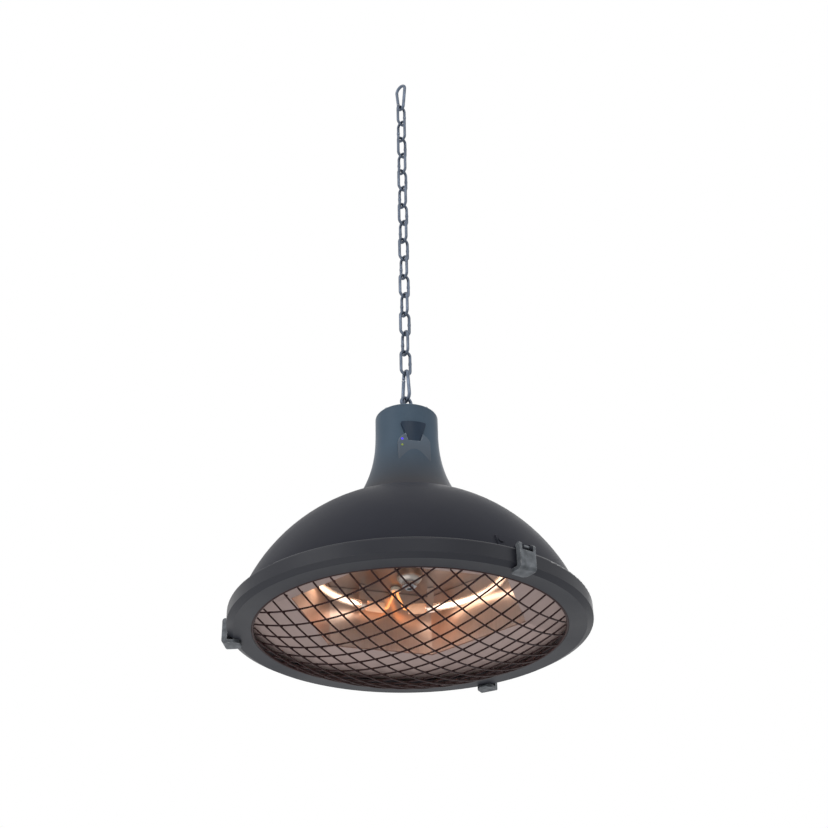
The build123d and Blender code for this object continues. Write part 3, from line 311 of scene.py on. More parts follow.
def object_noise(tree, scale, detail, stretch=(1.0, 1.0, 1.0)):
    place = tree.nodes.new("ShaderNodeTexCoord")
    mapping = put(tree, "ShaderNodeMapping", Vector=place.outputs["Object"], Scale=stretch)
    noise = put(tree, "ShaderNodeTexNoise", Vector=mapping.outputs["Vector"], Detail=detail)
    feed(tree, noise.inputs["Scale"], scale)
    return noise.outputs["Fac"]


def start_group(name, inputs, outputs):
    """Make an empty shader group with number inputs and number outputs."""
    tree = bpy.data.node_groups.new(name, "ShaderNodeTree")
    for label, default in inputs:
        socket = tree.interface.new_socket(label, in_out="INPUT", socket_type="NodeSocketFloat")
        socket.default_value = default
    for label in outputs:
        tree.interface.new_socket(label, in_out="OUTPUT", socket_type="NodeSocketFloat")
    return tree, tree.nodes.new("NodeGroupInput").outputs, tree.nodes.new("NodeGroupOutput").inputs


def make_grain_group():
    """Fine orange peel and a slow drift, for sprayed and plated surfaces."""
    inputs = [("Grain Scale", 900.0), ("Drift Scale", 9.0)]
    tree, given, result = start_group("Surface Grain", inputs, ["Height", "Drift"])
    feed(tree, result["Height"], object_noise(tree, given["Grain Scale"], 2.0))
    drift = object_noise(tree, given["Drift Scale"], 5.0)
    feed(tree, result["Drift"], remap(tree, drift, 0.3, 0.7, 0.0, 1.0))


def make_wear_group():
    """Broken wear along edges, found where the rounded normal leaves the flat one."""
    tree, given, result = start_group("Edge Wear", [("Width", 0.001), ("Breakup Scale", 260.0)], ["Mask"])
    rounded = put(tree, "ShaderNodeBevel", {"samples": 4})
    feed(tree, rounded.inputs["Radius"], given["Width"])
    flat = tree.nodes.new("ShaderNodeNewGeometry")
    facing = tree.nodes.new("ShaderNodeVectorMath")
    facing.operation = "DOT_PRODUCT"
    feed(tree, facing.inputs[0], rounded.outputs["Normal"])
    feed(tree, facing.inputs[1], flat.outputs["Normal"])
    edge = remap(tree, facing.outputs["Value"], 0.98, 0.85, 0.0, 1.0)
    broken = remap(tree, object_noise(tree, given["Breakup Scale"], 4.0), 0.45, 0.62, 0.0, 1.0)
    feed(tree, result["Mask"], multiply(tree, edge, broken))


def make_dust_group():
    """Dust on faces that look up, thinner on slopes and patchy."""
    tree, given, result = start_group("Settled Dust", [("Amount", 0.3), ("Patch Scale", 30.0)], ["Mask"])
    geometry = tree.nodes.new("ShaderNodeNewGeometry")
    split = put(tree, "ShaderNodeSeparateXYZ", Vector=geometry.outputs["Normal"])
    upward = remap(tree, split.outputs["Z"], 0.2, 1.0, 0.0, 1.0)
    patches = remap(tree, object_noise(tree, given["Patch Scale"], 6.0), 0.3, 0.75, 0.2, 1.0)
    feed(tree, result["Mask"], multiply(tree, multiply(tree, upward, patches), given["Amount"]))


def make_fade_group():
    """One below a low height, none above a high one, and a fade between them."""
    tree, given, result = start_group("Height Fade", [("Low", 0.0), ("High", 1.0)], ["Mask"])
    place = put(tree, "ShaderNodeSeparateXYZ", Vector=tree.nodes.new("ShaderNodeTexCoord").outputs["Object"])
    feed(tree, result["Mask"], remap(tree, place.outputs["Z"], given["Low"], given["High"], 1.0, 0.0))


def make_streak_group():
    """Fine lines left by rolling and polishing, drawn down the sheet."""
    tree, given, result = start_group("Polish Lines", [("Line Scale", 300.0)], ["Height", "Shade"])
    lines = object_noise(tree, given["Line Scale"], 3.0, (1.0, 1.0, 0.04))
    feed(tree, result["Height"], lines)
    slow = object_noise(tree, 14.0, 4.0, (1.0, 1.0, 0.35))
    both = calculate(tree, "ADD", multiply(tree, lines, 0.6), multiply(tree, slow, 0.4))
    feed(tree, result["Shade"], remap(tree, both, 0.3, 0.7, 0.0, 1.0))


def make_heat_and_glow_group():
    """How near a point is to the ring of heating tubes."""
    inputs = [("Circle Radius", TUBE_CIRCLE), ("Reach", 0.05), ("Height", TUBE_CENTRE.z)]
    tree, given, result = start_group("Tube Heat And Glow", inputs, ["Mask"])
    point = tree.nodes.new("ShaderNodeTexCoord").outputs["Object"]
    place = put(tree, "ShaderNodeSeparateXYZ", Vector=point).outputs
    radius = distance(tree, place["X"], place["Y"])
    across = calculate(tree, "SUBTRACT", radius, given["Circle Radius"])
    above = calculate(tree, "SUBTRACT", place["Z"], given["Height"])
    share = calculate(tree, "DIVIDE", distance(tree, across, above), given["Reach"])
    feed(tree, result["Mask"], remap(tree, share, 0.2, 1.0, 1.0, 0.0))


def distance(tree, first, second):
    """Longest side of a right triangle, from its two others."""
    squares = [calculate(tree, "POWER", side, 2.0) for side in (first, second)]
    return calculate(tree, "SQRT", calculate(tree, "ADD", *squares), 0.0)


def use_group(tree, name, **values):
    node = tree.nodes.new("ShaderNodeGroup")
    node.node_tree = bpy.data.node_groups[name]
    for key, value in values.items():
        feed(tree, node.inputs[key.replace("_", " ")], value)
    return node.outputs


def below(tree, span):
    """One below a span of heights and none above it."""
    return use_group(tree, "Height Fade", Low=span[0], High=span[1])["Mask"]


def start_material(name):
    material = bpy.data.materials.new(name)
    material.use_nodes = True
    tree = material.node_tree
    return material, tree, tree.nodes["Principled BSDF"]


def bump(tree, shader, height, depth):
    node = put(tree, "ShaderNodeBump", Strength=1.0, Distance=depth, Height=height)
    feed(tree, shader.inputs["Normal"], node.outputs["Normal"])


def scaled(colour, factor):
    return tuple(min(1.0, part * factor) for part in colour)


def enamel(name, colour, grain_scale, sheen, wear_width=0.0012, wear_and_highlight_colour=WORN_ENAMEL, foot_shade=None, highlight_fade=None):
    """Sprayed satin enamel with orange peel, slow drift, dust and worn edges; on the panel the edge colour is
    a painted highlight instead of wear.

    Down through the foot shade's heights the colour turns into the foot's painted shade, and below
    the highlight fade's heights the edges get no painted highlight.
    """
    finish = bpy.context.scene.heater_finish
    material, tree, shader = start_material(name)
    grain = use_group(tree, "Surface Grain", Grain_Scale=grain_scale, Drift_Scale=11.0)
    dust = use_group(tree, "Settled Dust", Amount=finish.dust_amount, Patch_Scale=26.0)["Mask"]
    wear = use_group(tree, "Edge Wear", Width=wear_width, Breakup_Scale=320.0)["Mask"]
    if highlight_fade:
        wear = multiply(tree, wear, opposite(tree, below(tree, highlight_fade)))
    tone = drifting(tree, grain["Drift"], colour, spread=0.08)
    if foot_shade:
        tone = blend_colour(tree, below(tree, foot_shade), tone, finish.foot_shade_colour)
    tone = blend_colour(tree, dust, tone, finish.dust_colour)
    # On the panel this edge colour is a painted highlight high on the arch, not wear
    feed(tree, shader.inputs["Base Color"], blend_colour(tree, wear, tone, wear_and_highlight_colour))
    smooth, dull = finish.coat_roughness - 0.05, finish.coat_roughness + 0.07
    rough = remap(tree, grain["Drift"], 0.0, 1.0, smooth, dull)
    dusty = multiply(tree, dust, 0.4)
    feed(tree, shader.inputs["Roughness"], calculate(tree, "ADD", rough, dusty))
    shader.inputs["Specular IOR Level"].default_value = sheen
    bump(tree, shader, grain["Height"], ENAMEL_RELIEF)
    return material


def plated(name, colour, bright, roughness, metallic, scale, wear_width=0.0008, spread=0.3):
    """Plated wire and sheet: mottled, with brighter metal where it rubs."""
    material, tree, shader = start_material(name)
    grain = use_group(tree, "Surface Grain", Grain_Scale=scale * 6.0, Drift_Scale=scale)
    wear = use_group(tree, "Edge Wear", Width=wear_width, Breakup_Scale=500.0)
    tone = drifting(tree, grain["Drift"], colour, spread)
    feed(tree, shader.inputs["Base Color"], blend_colour(tree, wear["Mask"], tone, bright))
    rough = remap(tree, grain["Drift"], 0.0, 1.0, roughness + 0.12, roughness - 0.08)
    feed(tree, shader.inputs["Roughness"], rough)
    shader.inputs["Metallic"].default_value = metallic
    bump(tree, shader, grain["Height"], PLATING_RELIEF)
    return material


def polished(name, colour, heat_tint_and_painted_glow, roughness, top=None, fold=None):
    """Polished sheet with fine lines, tinted where the tubes heat it and painted with the warm glow of their
    light.

    Above the top's heights it is browned by heat, and below the fold's it is duller.
    """
    finish = bpy.context.scene.heater_finish
    material, tree, shader = start_material(name)
    lines = use_group(tree, "Polish Lines", Line_Scale=420.0)
    # Near the tubes the sheet takes the heat tint, with the tubes' warm light painted on as glow
    tube_heat_and_glow = use_group(tree, "Tube Heat And Glow", Reach=finish.heat_tint_and_glow_reach)
    heat_and_glow_mask = multiply(tree, tube_heat_and_glow["Mask"], finish.heat_tint_and_glow_share)
    tone = drifting(tree, lines["Shade"], colour, spread=0.08)
    rough = remap(tree, lines["Shade"], 0.0, 1.0, roughness - 0.03, roughness + 0.05)
    height = lines["Height"]
    if top:
        under = below(tree, top)
        tone = blend_colour(tree, under, finish.top_colour, tone)
        heat_and_glow_mask = multiply(tree, heat_and_glow_mask, under)
    if fold:
        skirt = below(tree, fold)
        walls = opposite(tree, skirt)
        tone = blend_colour(tree, skirt, tone, finish.skirt_colour)
        dull = multiply(tree, finish.skirt_roughness, skirt)
        rough = calculate(tree, "ADD", multiply(tree, rough, walls), dull)
        height = multiply(tree, height, walls)
    feed(tree, shader.inputs["Base Color"], blend_colour(tree, heat_and_glow_mask, tone, heat_tint_and_painted_glow))
    feed(tree, shader.inputs["Roughness"], rough)
    shader.inputs["Metallic"].default_value = 1.0
    bump(tree, shader, height, POLISH_RELIEF)
    return material


def plain_stuff(name, colour, roughness, grain_scale=700.0, depth=0.00008, spread=0.15, sheen=0.4, painted_glow=0.0):
    """Moulded plastic, rubber, ceramic and woven sleeves, with a painted glow where the filaments' light
    falls on them.
    """
    material, tree, shader = start_material(name)
    grain = use_group(tree, "Surface Grain", Grain_Scale=grain_scale, Drift_Scale=60.0)
    tone = drifting(tree, grain["Drift"], colour, spread)
    feed(tree, shader.inputs["Base Color"], tone)
    rough = remap(tree, grain["Drift"], 0.0, 1.0, roughness - 0.06, roughness + 0.06)
    feed(tree, shader.inputs["Roughness"], rough)
    shader.inputs["Specular IOR Level"].default_value = sheen
    if painted_glow:
        feed(tree, shader.inputs["Emission Color"], tone)
        shader.inputs["Emission Strength"].default_value = painted_glow
    bump(tree, shader, grain["Height"], depth)
    return material


def glowing(name, colour, strength):
    """Lit pilot light, a little uneven across its face."""
    material, tree, shader = start_material(name)
    drift = use_group(tree, "Surface Grain", Grain_Scale=500.0, Drift_Scale=90.0)["Drift"]
    body = blend_colour(tree, drift, scaled(colour, 0.2), scaled(colour, 0.4))
    light = blend_colour(tree, drift, scaled(colour, 0.8), colour)
    feed(tree, shader.inputs["Base Color"], body)
    feed(tree, shader.inputs["Emission Color"], light)
    shader.inputs["Emission Strength"].default_value = strength
    shader.inputs["Roughness"].default_value = 0.5
    return material


def hot_wire(name, colour, light, strength):
    """Hot coil: nearly white to look at, with a warmer light on what stands round it."""
    material, tree, shader = start_material(name)
    grain = use_group(tree, "Surface Grain", Grain_Scale=500.0, Drift_Scale=90.0)
    path = tree.nodes.new("ShaderNodeLightPath")
    seen = blend_colour(tree, grain["Drift"], scaled(colour, 0.85), scaled(colour, 1.0))
    feed(tree, shader.inputs["Base Color"], seen)
    own = blend_colour(tree, path.outputs["Is Camera Ray"], light, scaled(colour, 1.0 / strength))
    feed(tree, shader.inputs["Emission Color"], own)
    shader.inputs["Emission Strength"].default_value = strength
    shader.inputs["Roughness"].default_value = 0.5
    return material


def bright_sleeve(name, colour):
    """Glow round a hot coil: strong in the middle, gone at its sides."""
    material, tree, shader = start_material(name)
    facing = put(tree, "ShaderNodeLayerWeight", Blend=0.5).outputs["Facing"]
    drift = use_group(tree, "Surface Grain", Grain_Scale=700.0, Drift_Scale=160.0)["Drift"]
    soft = remap(tree, facing, 0.45, 0.97, 1.0, 0.0)
    uneven = remap(tree, drift, 0.0, 1.0, 0.85, 1.0)
    feed(tree, shader.inputs["Alpha"], multiply(tree, soft, uneven))
    shader.inputs["Base Color"].default_value = BLACK
    feed(tree, shader.inputs["Emission Color"], blend_colour(tree, facing, colour, SLEEVE_EDGE))
    shader.inputs["Emission Strength"].default_value = 3.0
    shader.inputs["Specular IOR Level"].default_value = 0.0
    return material


def clear_quartz(name):
    """Thin clear tube: nearly invisible face on, brighter towards its edges."""
    material, tree, shader = start_material(name)
    facing = put(tree, "ShaderNodeLayerWeight", Blend=0.35).outputs["Facing"]
    drift = use_group(tree, "Surface Grain", Grain_Scale=200.0, Drift_Scale=40.0)["Drift"]
    face = remap(tree, facing, 0.0, 1.0, 0.06, 0.6)
    cloud = remap(tree, drift, 0.0, 1.0, 0.85, 1.15)
    feed(tree, shader.inputs["Alpha"], multiply(tree, face, cloud))
    feed(tree, shader.inputs["Base Color"], blend_colour(tree, drift, QUARTZ, PALE_QUARTZ))
    shader.inputs["Roughness"].default_value = 0.04
    shader.inputs["Specular IOR Level"].default_value = 0.8
    return material


# Mesh building

def new_piece(name, mesh, body, slot, *materials):
    """Turn a bmesh into a smooth object that rides on a body."""
    data = bpy.data.meshes.new(name)
    mesh.to_mesh(data)
    mesh.free()
    for polygon in data.polygons:
        polygon.use_smooth = True
    for material in materials:
        data.materials.append(material)
    piece = bpy.data.objects.new(name, data)
    bpy.context.scene.collection.objects.link(piece)
    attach(piece, body)
    return piece


def dress(nodes, material):
    """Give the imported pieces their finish."""
    for name in nodes:
        slots = frame["nodes"][name].material_slots
        if not slots:
            frame["nodes"][name].data.materials.append(material)
        for slot in slots:
            slot.material = material


def lathe(mesh, profile, place, segments=20, material=0):
    """Turn a profile of (radius, height) points about the Z axis of a place."""
    rings = []
    for radius, height in profile:
        if radius == 0:
            rings.append([mesh.verts.new(place @ Vector((0, 0, height)))])
            continue
        ring = []
        for step in range(segments):
            angle = math.tau * step / segments
            point = Vector((radius * math.cos(angle), radius * math.sin(angle), height))
            ring.append(mesh.verts.new(place @ point))
        rings.append(ring)
    for lower, upper in zip(rings, rings[1:]):
        for step in range(segments):
            after = (step + 1) % segments
            if len(lower) == 1:
                corners = (lower[0], upper[after], upper[step])
            elif len(upper) == 1:
                corners = (lower[step], lower[after], upper[0])
            else:
                corners = (lower[step], lower[after], upper[after], upper[step])
            mesh.faces.new(corners).material_index = material


def turned_about_z(angle, place):
    return Matrix.Translation(place) @ Matrix.Rotation(angle, 4, "Z")


# Operators, one for each group of pieces

class HEATER_OT_groups(bpy.types.Operator):
    """Build the shared surface effects"""

    bl_idname = "heater.build_effects"
    bl_label = "Build Surface Effects"

    def execute(self, context):
        make_grain_group()
        make_wear_group()
        make_dust_group()
        make_streak_group()
        make_fade_group()
        make_heat_and_glow_group()
        return {"FINISHED"}


class HEATER_OT_chain(bpy.types.Operator):
    """Finish the chain and add each link's weld"""

    bl_idname = "heater.dress_chain"
    bl_label = "Chain"

    def execute(self, context):
        finish = context.scene.heater_finish
        detail = context.scene.heater_detail
        metal = {"roughness": 0.42, "metallic": 0.8, "scale": 90.0, "spread": 0.16}
        steel = plated("chain_plating", finish.chain_colour, WORN_CHAIN, **metal)
        dress(LINKS, steel)
        profile = self.weld_profile(detail)
        for name in LINKS:
            number = name[-2:]
            axis = Vector(JOINTS["chain_joint_" + number]["axis"])
            mesh = bmesh.new()
            lathe(mesh, profile, self.weld_place(name, axis, detail))
            new_piece("link_weld_" + number, mesh, "link_" + number, "chain_steel", steel)
        return {"FINISHED"}

    def weld_place(self, name, axis, detail):
        """Middle of the link's side wire, found from its box and the turn of its joint's axis."""
        low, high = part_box(name)
        turn = math.atan2(axis.y, axis.x) + math.pi / 2
        least_spread = 0.01
        spread = max(abs(math.cos(turn)), least_spread)
        out = min(((high.x - low.x) / 2 - detail.link_wire_radius) / spread, detail.link_half_width)
        return turned_about_z(turn, (low + high) / 2) @ Matrix.Translation((out, 0, 0))

    def weld_profile(self, detail):
        """A low swelling whose ends sink into the wire."""
        half = detail.weld_length / 2
        wire = detail.link_wire_radius
        rise = detail.weld_radius - wire
        sunk, fullness, steps = 0.0002, 0.7, 8
        profile = [(wire - sunk, -half)]
        for step in range(steps + 1):
            share = step / steps
            radius = wire + rise * math.sin(math.pi * share) ** fullness
            profile.append((radius, half * (2 * share - 1)))
        profile.append((wire - sunk, half))
        return profile


class HEATER_OT_hooks(bpy.types.Operator):
    """Finish the two snap hooks and the eye bolt"""

    bl_idname = "heater.dress_hooks"
    bl_label = "Snap Hooks"

    def execute(self, context):
        finish = context.scene.heater_finish
        colour = scaled(finish.chain_colour, 1.15)
        metal = {"roughness": 0.4, "metallic": 0.85, "scale": 80.0, "spread": 0.18}
        steel = plated("hook_plating", colour, WORN_HOOK, **metal)
        pin = plated("hook_pin_steel", PIN_STEEL, WORN_PIN, roughness=0.3, metallic=0.95, scale=300.0)
        dress(["top_hook_body", "top_hook_gate", "lower_hook_body", "lower_hook_gate", "eye_bolt"], steel)
        dress(["top_hook_pin", "lower_hook_pin"], pin)
        return {"FINISHED"}


class HEATER_OT_neck(bpy.types.Operator):
    """Finish the neck, its lid and the cable gland"""

    bl_idname = "heater.dress_neck"
    bl_label = "Neck and Lid"

    def execute(self, context):
        finish = context.scene.heater_finish
        low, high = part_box("neck_shell")
        # Painted shade: over these heights the neck darkens towards its foot
        foot_shade = (low.z + finish.fade_start, low.z + finish.fade_end * (high.z - low.z))
        coat = enamel("neck_enamel", finish.neck_colour, grain_scale=1100.0, sheen=0.1, foot_shade=foot_shade)
        dress(["neck_shell", "neck_lid"], coat)
        self.finish_panel(finish, foot_shade)
        zinc = plated("zinc_screw_steel", ZINC, WORN_ZINC, roughness=0.3, metallic=0.95, scale=240.0)
        screws = ["lid_screws", "eye_bolt_nut", "neck_screws", "reflector_screws", "rod_nuts", "central_rod"]
        dress(screws, zinc)
        dress(["gland_body", "gland_cap"], plain_stuff("gland_nylon", BLACK_NYLON, roughness=0.5))
        rubber = plain_stuff("black_rubber", BLACK_RUBBER, roughness=0.75, grain_scale=400.0, depth=0.0002)
        dress(["gland_seal"], rubber)
        # Painted shadow line in the gap between the neck's foot and the dome
        self.make_shadow_seam((high.x - low.x) / 2, low.z, context.scene.heater_detail.shadow_seam_radius, rubber)
        return {"FINISHED"}

    def finish_panel(self, finish, foot_shade):
        """The neck's enamel on the panel, with a painted highlight on its edges only high on the arch."""
        low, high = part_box("receiver_panel")
        middle_share, shoulder_share = 0.5, 0.75
        tall = high.z - low.z
        highlight_from = (low.z + middle_share * tall, low.z + shoulder_share * tall)
        # Its edge colour is a painted highlight on the arch's shoulders
        coat = {"grain_scale": 1100.0, "sheen": 0.3, "wear_width": 0.002, "wear_and_highlight_colour": PANEL_EDGE_HIGHLIGHT}
        panel = enamel("panel_enamel", finish.panel_colour, foot_shade=foot_shade, highlight_fade=highlight_from, **coat)
        dress(["receiver_panel"], panel)

    def make_shadow_seam(self, reach, level, bead, material):
        """Round dark bead between the neck's foot and the dome, a painted shadow line for the gap there."""
        steps, segments = 8, 96
        profile = []
        for step in range(steps + 1):
            angle = math.tau * step / steps
            profile.append((reach + bead * math.cos(angle), level + bead * math.sin(angle)))
        mesh = bmesh.new()
        lathe(mesh, profile, Matrix.Identity(4), segments)
        new_piece("neck_shadow_seam", mesh, "heater", "seal_rubber", material)


class HEATER_OT_receiver(bpy.types.Operator):
    """Finish the receiver window and light the two pilot lights"""

    bl_idname = "heater.dress_receiver"
    bl_label = "Receiver"

    def execute(self, context):
        smooth = {"roughness": 0.35, "grain_scale": 90.0, "depth": 0.00001, "spread": 0.08, "sheen": 0.12}
        dress(["receiver_lens"], plain_stuff("window_plastic", DARK_WINDOW, **smooth))
        printed = {"roughness": 0.4, "grain_scale": 260.0, "depth": 0.0002, "spread": 0.4}
        dress(["control_board"], plain_stuff("board_green", BOARD_GREEN, **printed))
        low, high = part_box("pilot_lights")
        blue = glowing("blue_light", BLUE_LIGHT, strength=1.15)
        green = glowing("green_light", GREEN_LIGHT, strength=0.28)
        mesh = bmesh.new()
        radius = context.scene.heater_detail.light_radius
        profile = self.light_profile(radius)
        outer = self.outer_middle()
        turn = self.outward().to_matrix().to_4x4()
        for index, height in enumerate((high.z - radius, low.z + radius)):
            place = Matrix.Translation((outer.x, outer.y, height)) @ turn
            lathe(mesh, profile, place, 20, index)
        lights = new_piece("pilot_light_domes", mesh, "heater", "pilot_lights", blue, green)
        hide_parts("pilot_lights")
        return {"FINISHED"}

    def light_profile(self, radius):
        """A round stem that ends in a low dome."""
        stem, rise_share, steps = 0.012, 0.7, 6
        profile = [(radius, -stem)]
        for step in range(steps):
            angle = math.pi / 2 * step / steps
            profile.append((radius * math.cos(angle), radius * rise_share * (math.sin(angle) - 1)))
        profile.append((0, 0))
        return profile

    def outward(self):
        """Turn that takes +Z to the way the receiver faces."""
        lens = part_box("receiver_lens")
        middle = (lens[0] + lens[1]) / 2
        return Vector((middle.x, middle.y, 0)).to_track_quat("Z", "Y")

    def outer_middle(self):
        """Middle of the lights' outer ends, level with the frame's origin."""
        facing = self.outward() @ Vector((0, 0, 1))
        points = [vertex.co for vertex in frame["nodes"]["pilot_lights"].data.vertices]
        reach = max(point.dot(facing) for point in points)
        end_depth = 0.002
        front = [point for point in points if point.dot(facing) > reach - end_depth]
        middle = sum(front, Vector()) / len(front)
        aside = middle - facing * middle.dot(facing)
        return Vector((aside.x, aside.y, 0)) + facing * reach


class HEATER_OT_dome(bpy.types.Operator):
    """Finish the dome and the rim ring"""

    bl_idname = "heater.dress_dome"
    bl_label = "Dome and Ring"

    def execute(self, context):
        finish = context.scene.heater_finish
        coat = enamel("dome_enamel", finish.dome_colour, grain_scale=1000.0, sheen=0.05)
        dress(["dome_shell", "clip_bases", "clip_rivets"], coat)
        ring = enamel("ring_enamel", finish.ring_colour, grain_scale=1000.0, sheen=0.22, wear_and_highlight_colour=WORN_RING)
        dress(["grille_ring"], ring)
        seal = plain_stuff("seal_glass_fibre", GLASS_FIBRE, roughness=0.9, grain_scale=500.0, depth=0.0004)
        dress(["ring_seal"], seal)
        return {"FINISHED"}


class HEATER_OT_grille(bpy.types.Operator):
    """Finish the bulged grille and add a weld bead at each crossing"""

    bl_idname = "heater.dress_grille"
    bl_label = "Grille"

    def execute(self, context):
        finish = context.scene.heater_finish
        detail = context.scene.heater_detail
        thin = {"grain_scale": 1500.0, "sheen": 0.12, "wear_width": 0.0003, "wear_and_highlight_colour": WORN_GRILLE}
        coat = enamel("grille_enamel", finish.wire_colour, **thin)
        dress(["grille_wires_lower", "grille_wires_upper", "grille_rim_wire"], coat)
        stretch = Matrix.Diagonal((1, 1, 1.2, 1))
        mesh = bmesh.new()
        for point, lean in self.crossings(detail):
            place = Matrix.Translation(point) @ lean.to_matrix().to_4x4() @ stretch
            bmesh.ops.create_icosphere(mesh, subdivisions=1, radius=detail.bead_radius, matrix=place)
        new_piece("grille_weld_beads", mesh, "heater", "grille_enamel", coat)
        return {"FINISHED"}

    def crossings(self, detail):
        """Places where the two sets of wires meet, on the grille's ball."""
        low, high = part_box("grille_rim_wire")
        level = (low.z + high.z) / 2
        edge = (high.x - low.x) / 2 - detail.rim_wire_radius
        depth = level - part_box("grille_wires_lower")[0].z - detail.wire_radius
        ball = (edge**2 + depth**2) / (2 * depth)
        centre = Vector((0, 0, level - depth + ball))
        along = Vector((math.cos(detail.wire_turn), math.sin(detail.wire_turn), 0))
        across = Vector((-along.y, along.x, 0))
        clear_of_rim = 0.004
        most = math.ceil(edge / detail.wire_spacing)
        found = []
        for first in range(-most, most + 1):
            for second in range(-most, most + 1):
                lower = first * detail.wire_spacing - detail.lower_shift
                upper = second * detail.wire_spacing + detail.upper_shift
                flat = across * lower + along * upper
                if flat.length < edge - clear_of_rim:
                    fall = Vector((0, 0, math.sqrt(ball**2 - flat.length_squared)))
                    point = flat + centre - fall
                    out = (point - centre).normalized()
                    found.append((point - out * detail.wire_radius, out.to_track_quat("Z", "Y")))
        return found


class HEATER_OT_reflector(bpy.types.Operator):
    """Finish the reflector, hub cup and inner plates"""

    bl_idname = "heater.dress_reflector"
    bl_label = "Reflector"

    def execute(self, context):
        finish = context.scene.heater_finish
        low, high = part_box("reflector_pan")
        bend = 0.001
        foot = low.z + finish.skirt_height
        fold = (foot + bend, foot + 2 * bend)
        top = (high.z - 3 * bend, high.z - bend)
        # Heat tint near the tubes, with their painted glow, for the reflector and the hub cup
        heat_tint_and_painted_glow = finish.heat_tint_and_glow_colour
        sheet = polished("reflector_sheet", finish.mirror_colour, heat_tint_and_painted_glow, roughness=0.32, top=top, fold=fold)
        dress(["reflector_pan", "tube_clips"], sheet)
        dress(["hub_cup"], polished("hub_sheet", finish.hub_colour, heat_tint_and_painted_glow, roughness=0.35))
        dress(["heat_shield"], polished("shield_sheet", SHIELD_STEEL, HOT_SHIELD, roughness=0.35))
        metal = {"roughness": 0.32, "metallic": 0.95, "scale": 160.0}
        dress(["support_plate"], plated("support_sheet", SUPPORT_STEEL, WORN_SUPPORT, **metal))
        return {"FINISHED"}


class HEATER_OT_tubes(bpy.types.Operator):
    """Light the filaments and finish the tubes, ceramics and leads"""

    bl_idname = "heater.dress_tubes"
    bl_label = "Heating Tubes"

    def execute(self, context):
        finish = context.scene.heater_finish
        coil = hot_wire("hot_filament", finish.hot_colour, finish.glow_colour, finish.glow_strength)
        dress(["filaments"], coil)
        self.make_sleeves(context.scene.heater_detail, bright_sleeve("filament_glow", finish.hot_colour))
        dress(["quartz_tubes"], clear_quartz("clear_quartz"))
        dress(["lead_bushes", "terminal_block"], plain_stuff("steatite", STEATITE, roughness=0.6))
        # Painted glow: the end caps and leads give off light that stands in for the filaments' light on them
        caps = plain_stuff("steatite_painted_glow", STEATITE_PAINTED_GLOW, roughness=0.6, painted_glow=0.5)
        dress(["tube_end_caps"], caps)
        woven = {"roughness": 0.8, "grain_scale": 1500.0, "depth": 0.0003, "painted_glow": 1.2}
        dress(["lamp_leads"], plain_stuff("woven_sleeve", WOVEN_SLEEVE, **woven))
        return {"FINISHED"}

    def make_sleeves(self, detail, material):
        """Soft bright sleeve round each filament's coil."""
        low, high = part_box("quartz_tubes")
        points = [vertex.co for vertex in frame["nodes"]["quartz_tubes"].data.vertices]
        outer = max(math.hypot(point.x, point.y) for point in points)
        circle = outer - (high.z - low.z) / 2
        level = (low.z + high.z) / 2
        steps, sides, tapered_steps, end_share = 40, 16, 2, 0.02
        mesh = bmesh.new()
        for middle in self.tube_middles(points):
            rings = []
            for step in range(steps + 1):
                angle = middle + detail.glow_reach * (2 * step / steps - 1)
                from_end = min(step, steps - step) / tapered_steps
                radius = detail.glow_radius * math.sqrt(min(1.0, from_end + end_share))
                ring = []
                for side in range(sides):
                    around = math.tau * side / sides
                    reach = circle + radius * math.cos(around)
                    height = level + radius * math.sin(around)
                    place = (reach * math.cos(angle), reach * math.sin(angle), height)
                    ring.append(mesh.verts.new(place))
                rings.append(ring)
            for first, second in zip(rings, rings[1:]):
                for side in range(sides):
                    after = (side + 1) % sides
                    mesh.faces.new((first[side], first[after], second[after], second[side]))
        new_piece("filament_glow", mesh, "heater", "tungsten", material)

    def tube_middles(self, points):
        """Angles of the three tubes' middles, each half way between two gaps in their ring."""
        tubes = 3
        least_gap = math.radians(8)
        turns = sorted(math.atan2(point.y, point.x) for point in points)
        gaps = []
        for first, second in zip(turns, turns[1:] + [turns[0] + math.tau]):
            if second - first > least_gap:
                gaps.append((first + second) / 2)
        return [gap + math.pi / tubes for gap in gaps]


class HEATER_OT_clips(bpy.types.Operator):
    """Finish the three claw clips"""

    bl_idname = "heater.dress_clips"
    bl_label = "Claw Clips"

    def execute(self, context):
        finish = context.scene.heater_finish
        metal = {"roughness": 0.5, "metallic": 0.55, "scale": 120.0, "wear_width": 0.0009}
        steel = plated("clip_plating", finish.clip_colour, WORN_CLIP, **metal)
        dress(CLAWS + ["clip_pins"], steel)
        return {"FINISHED"}


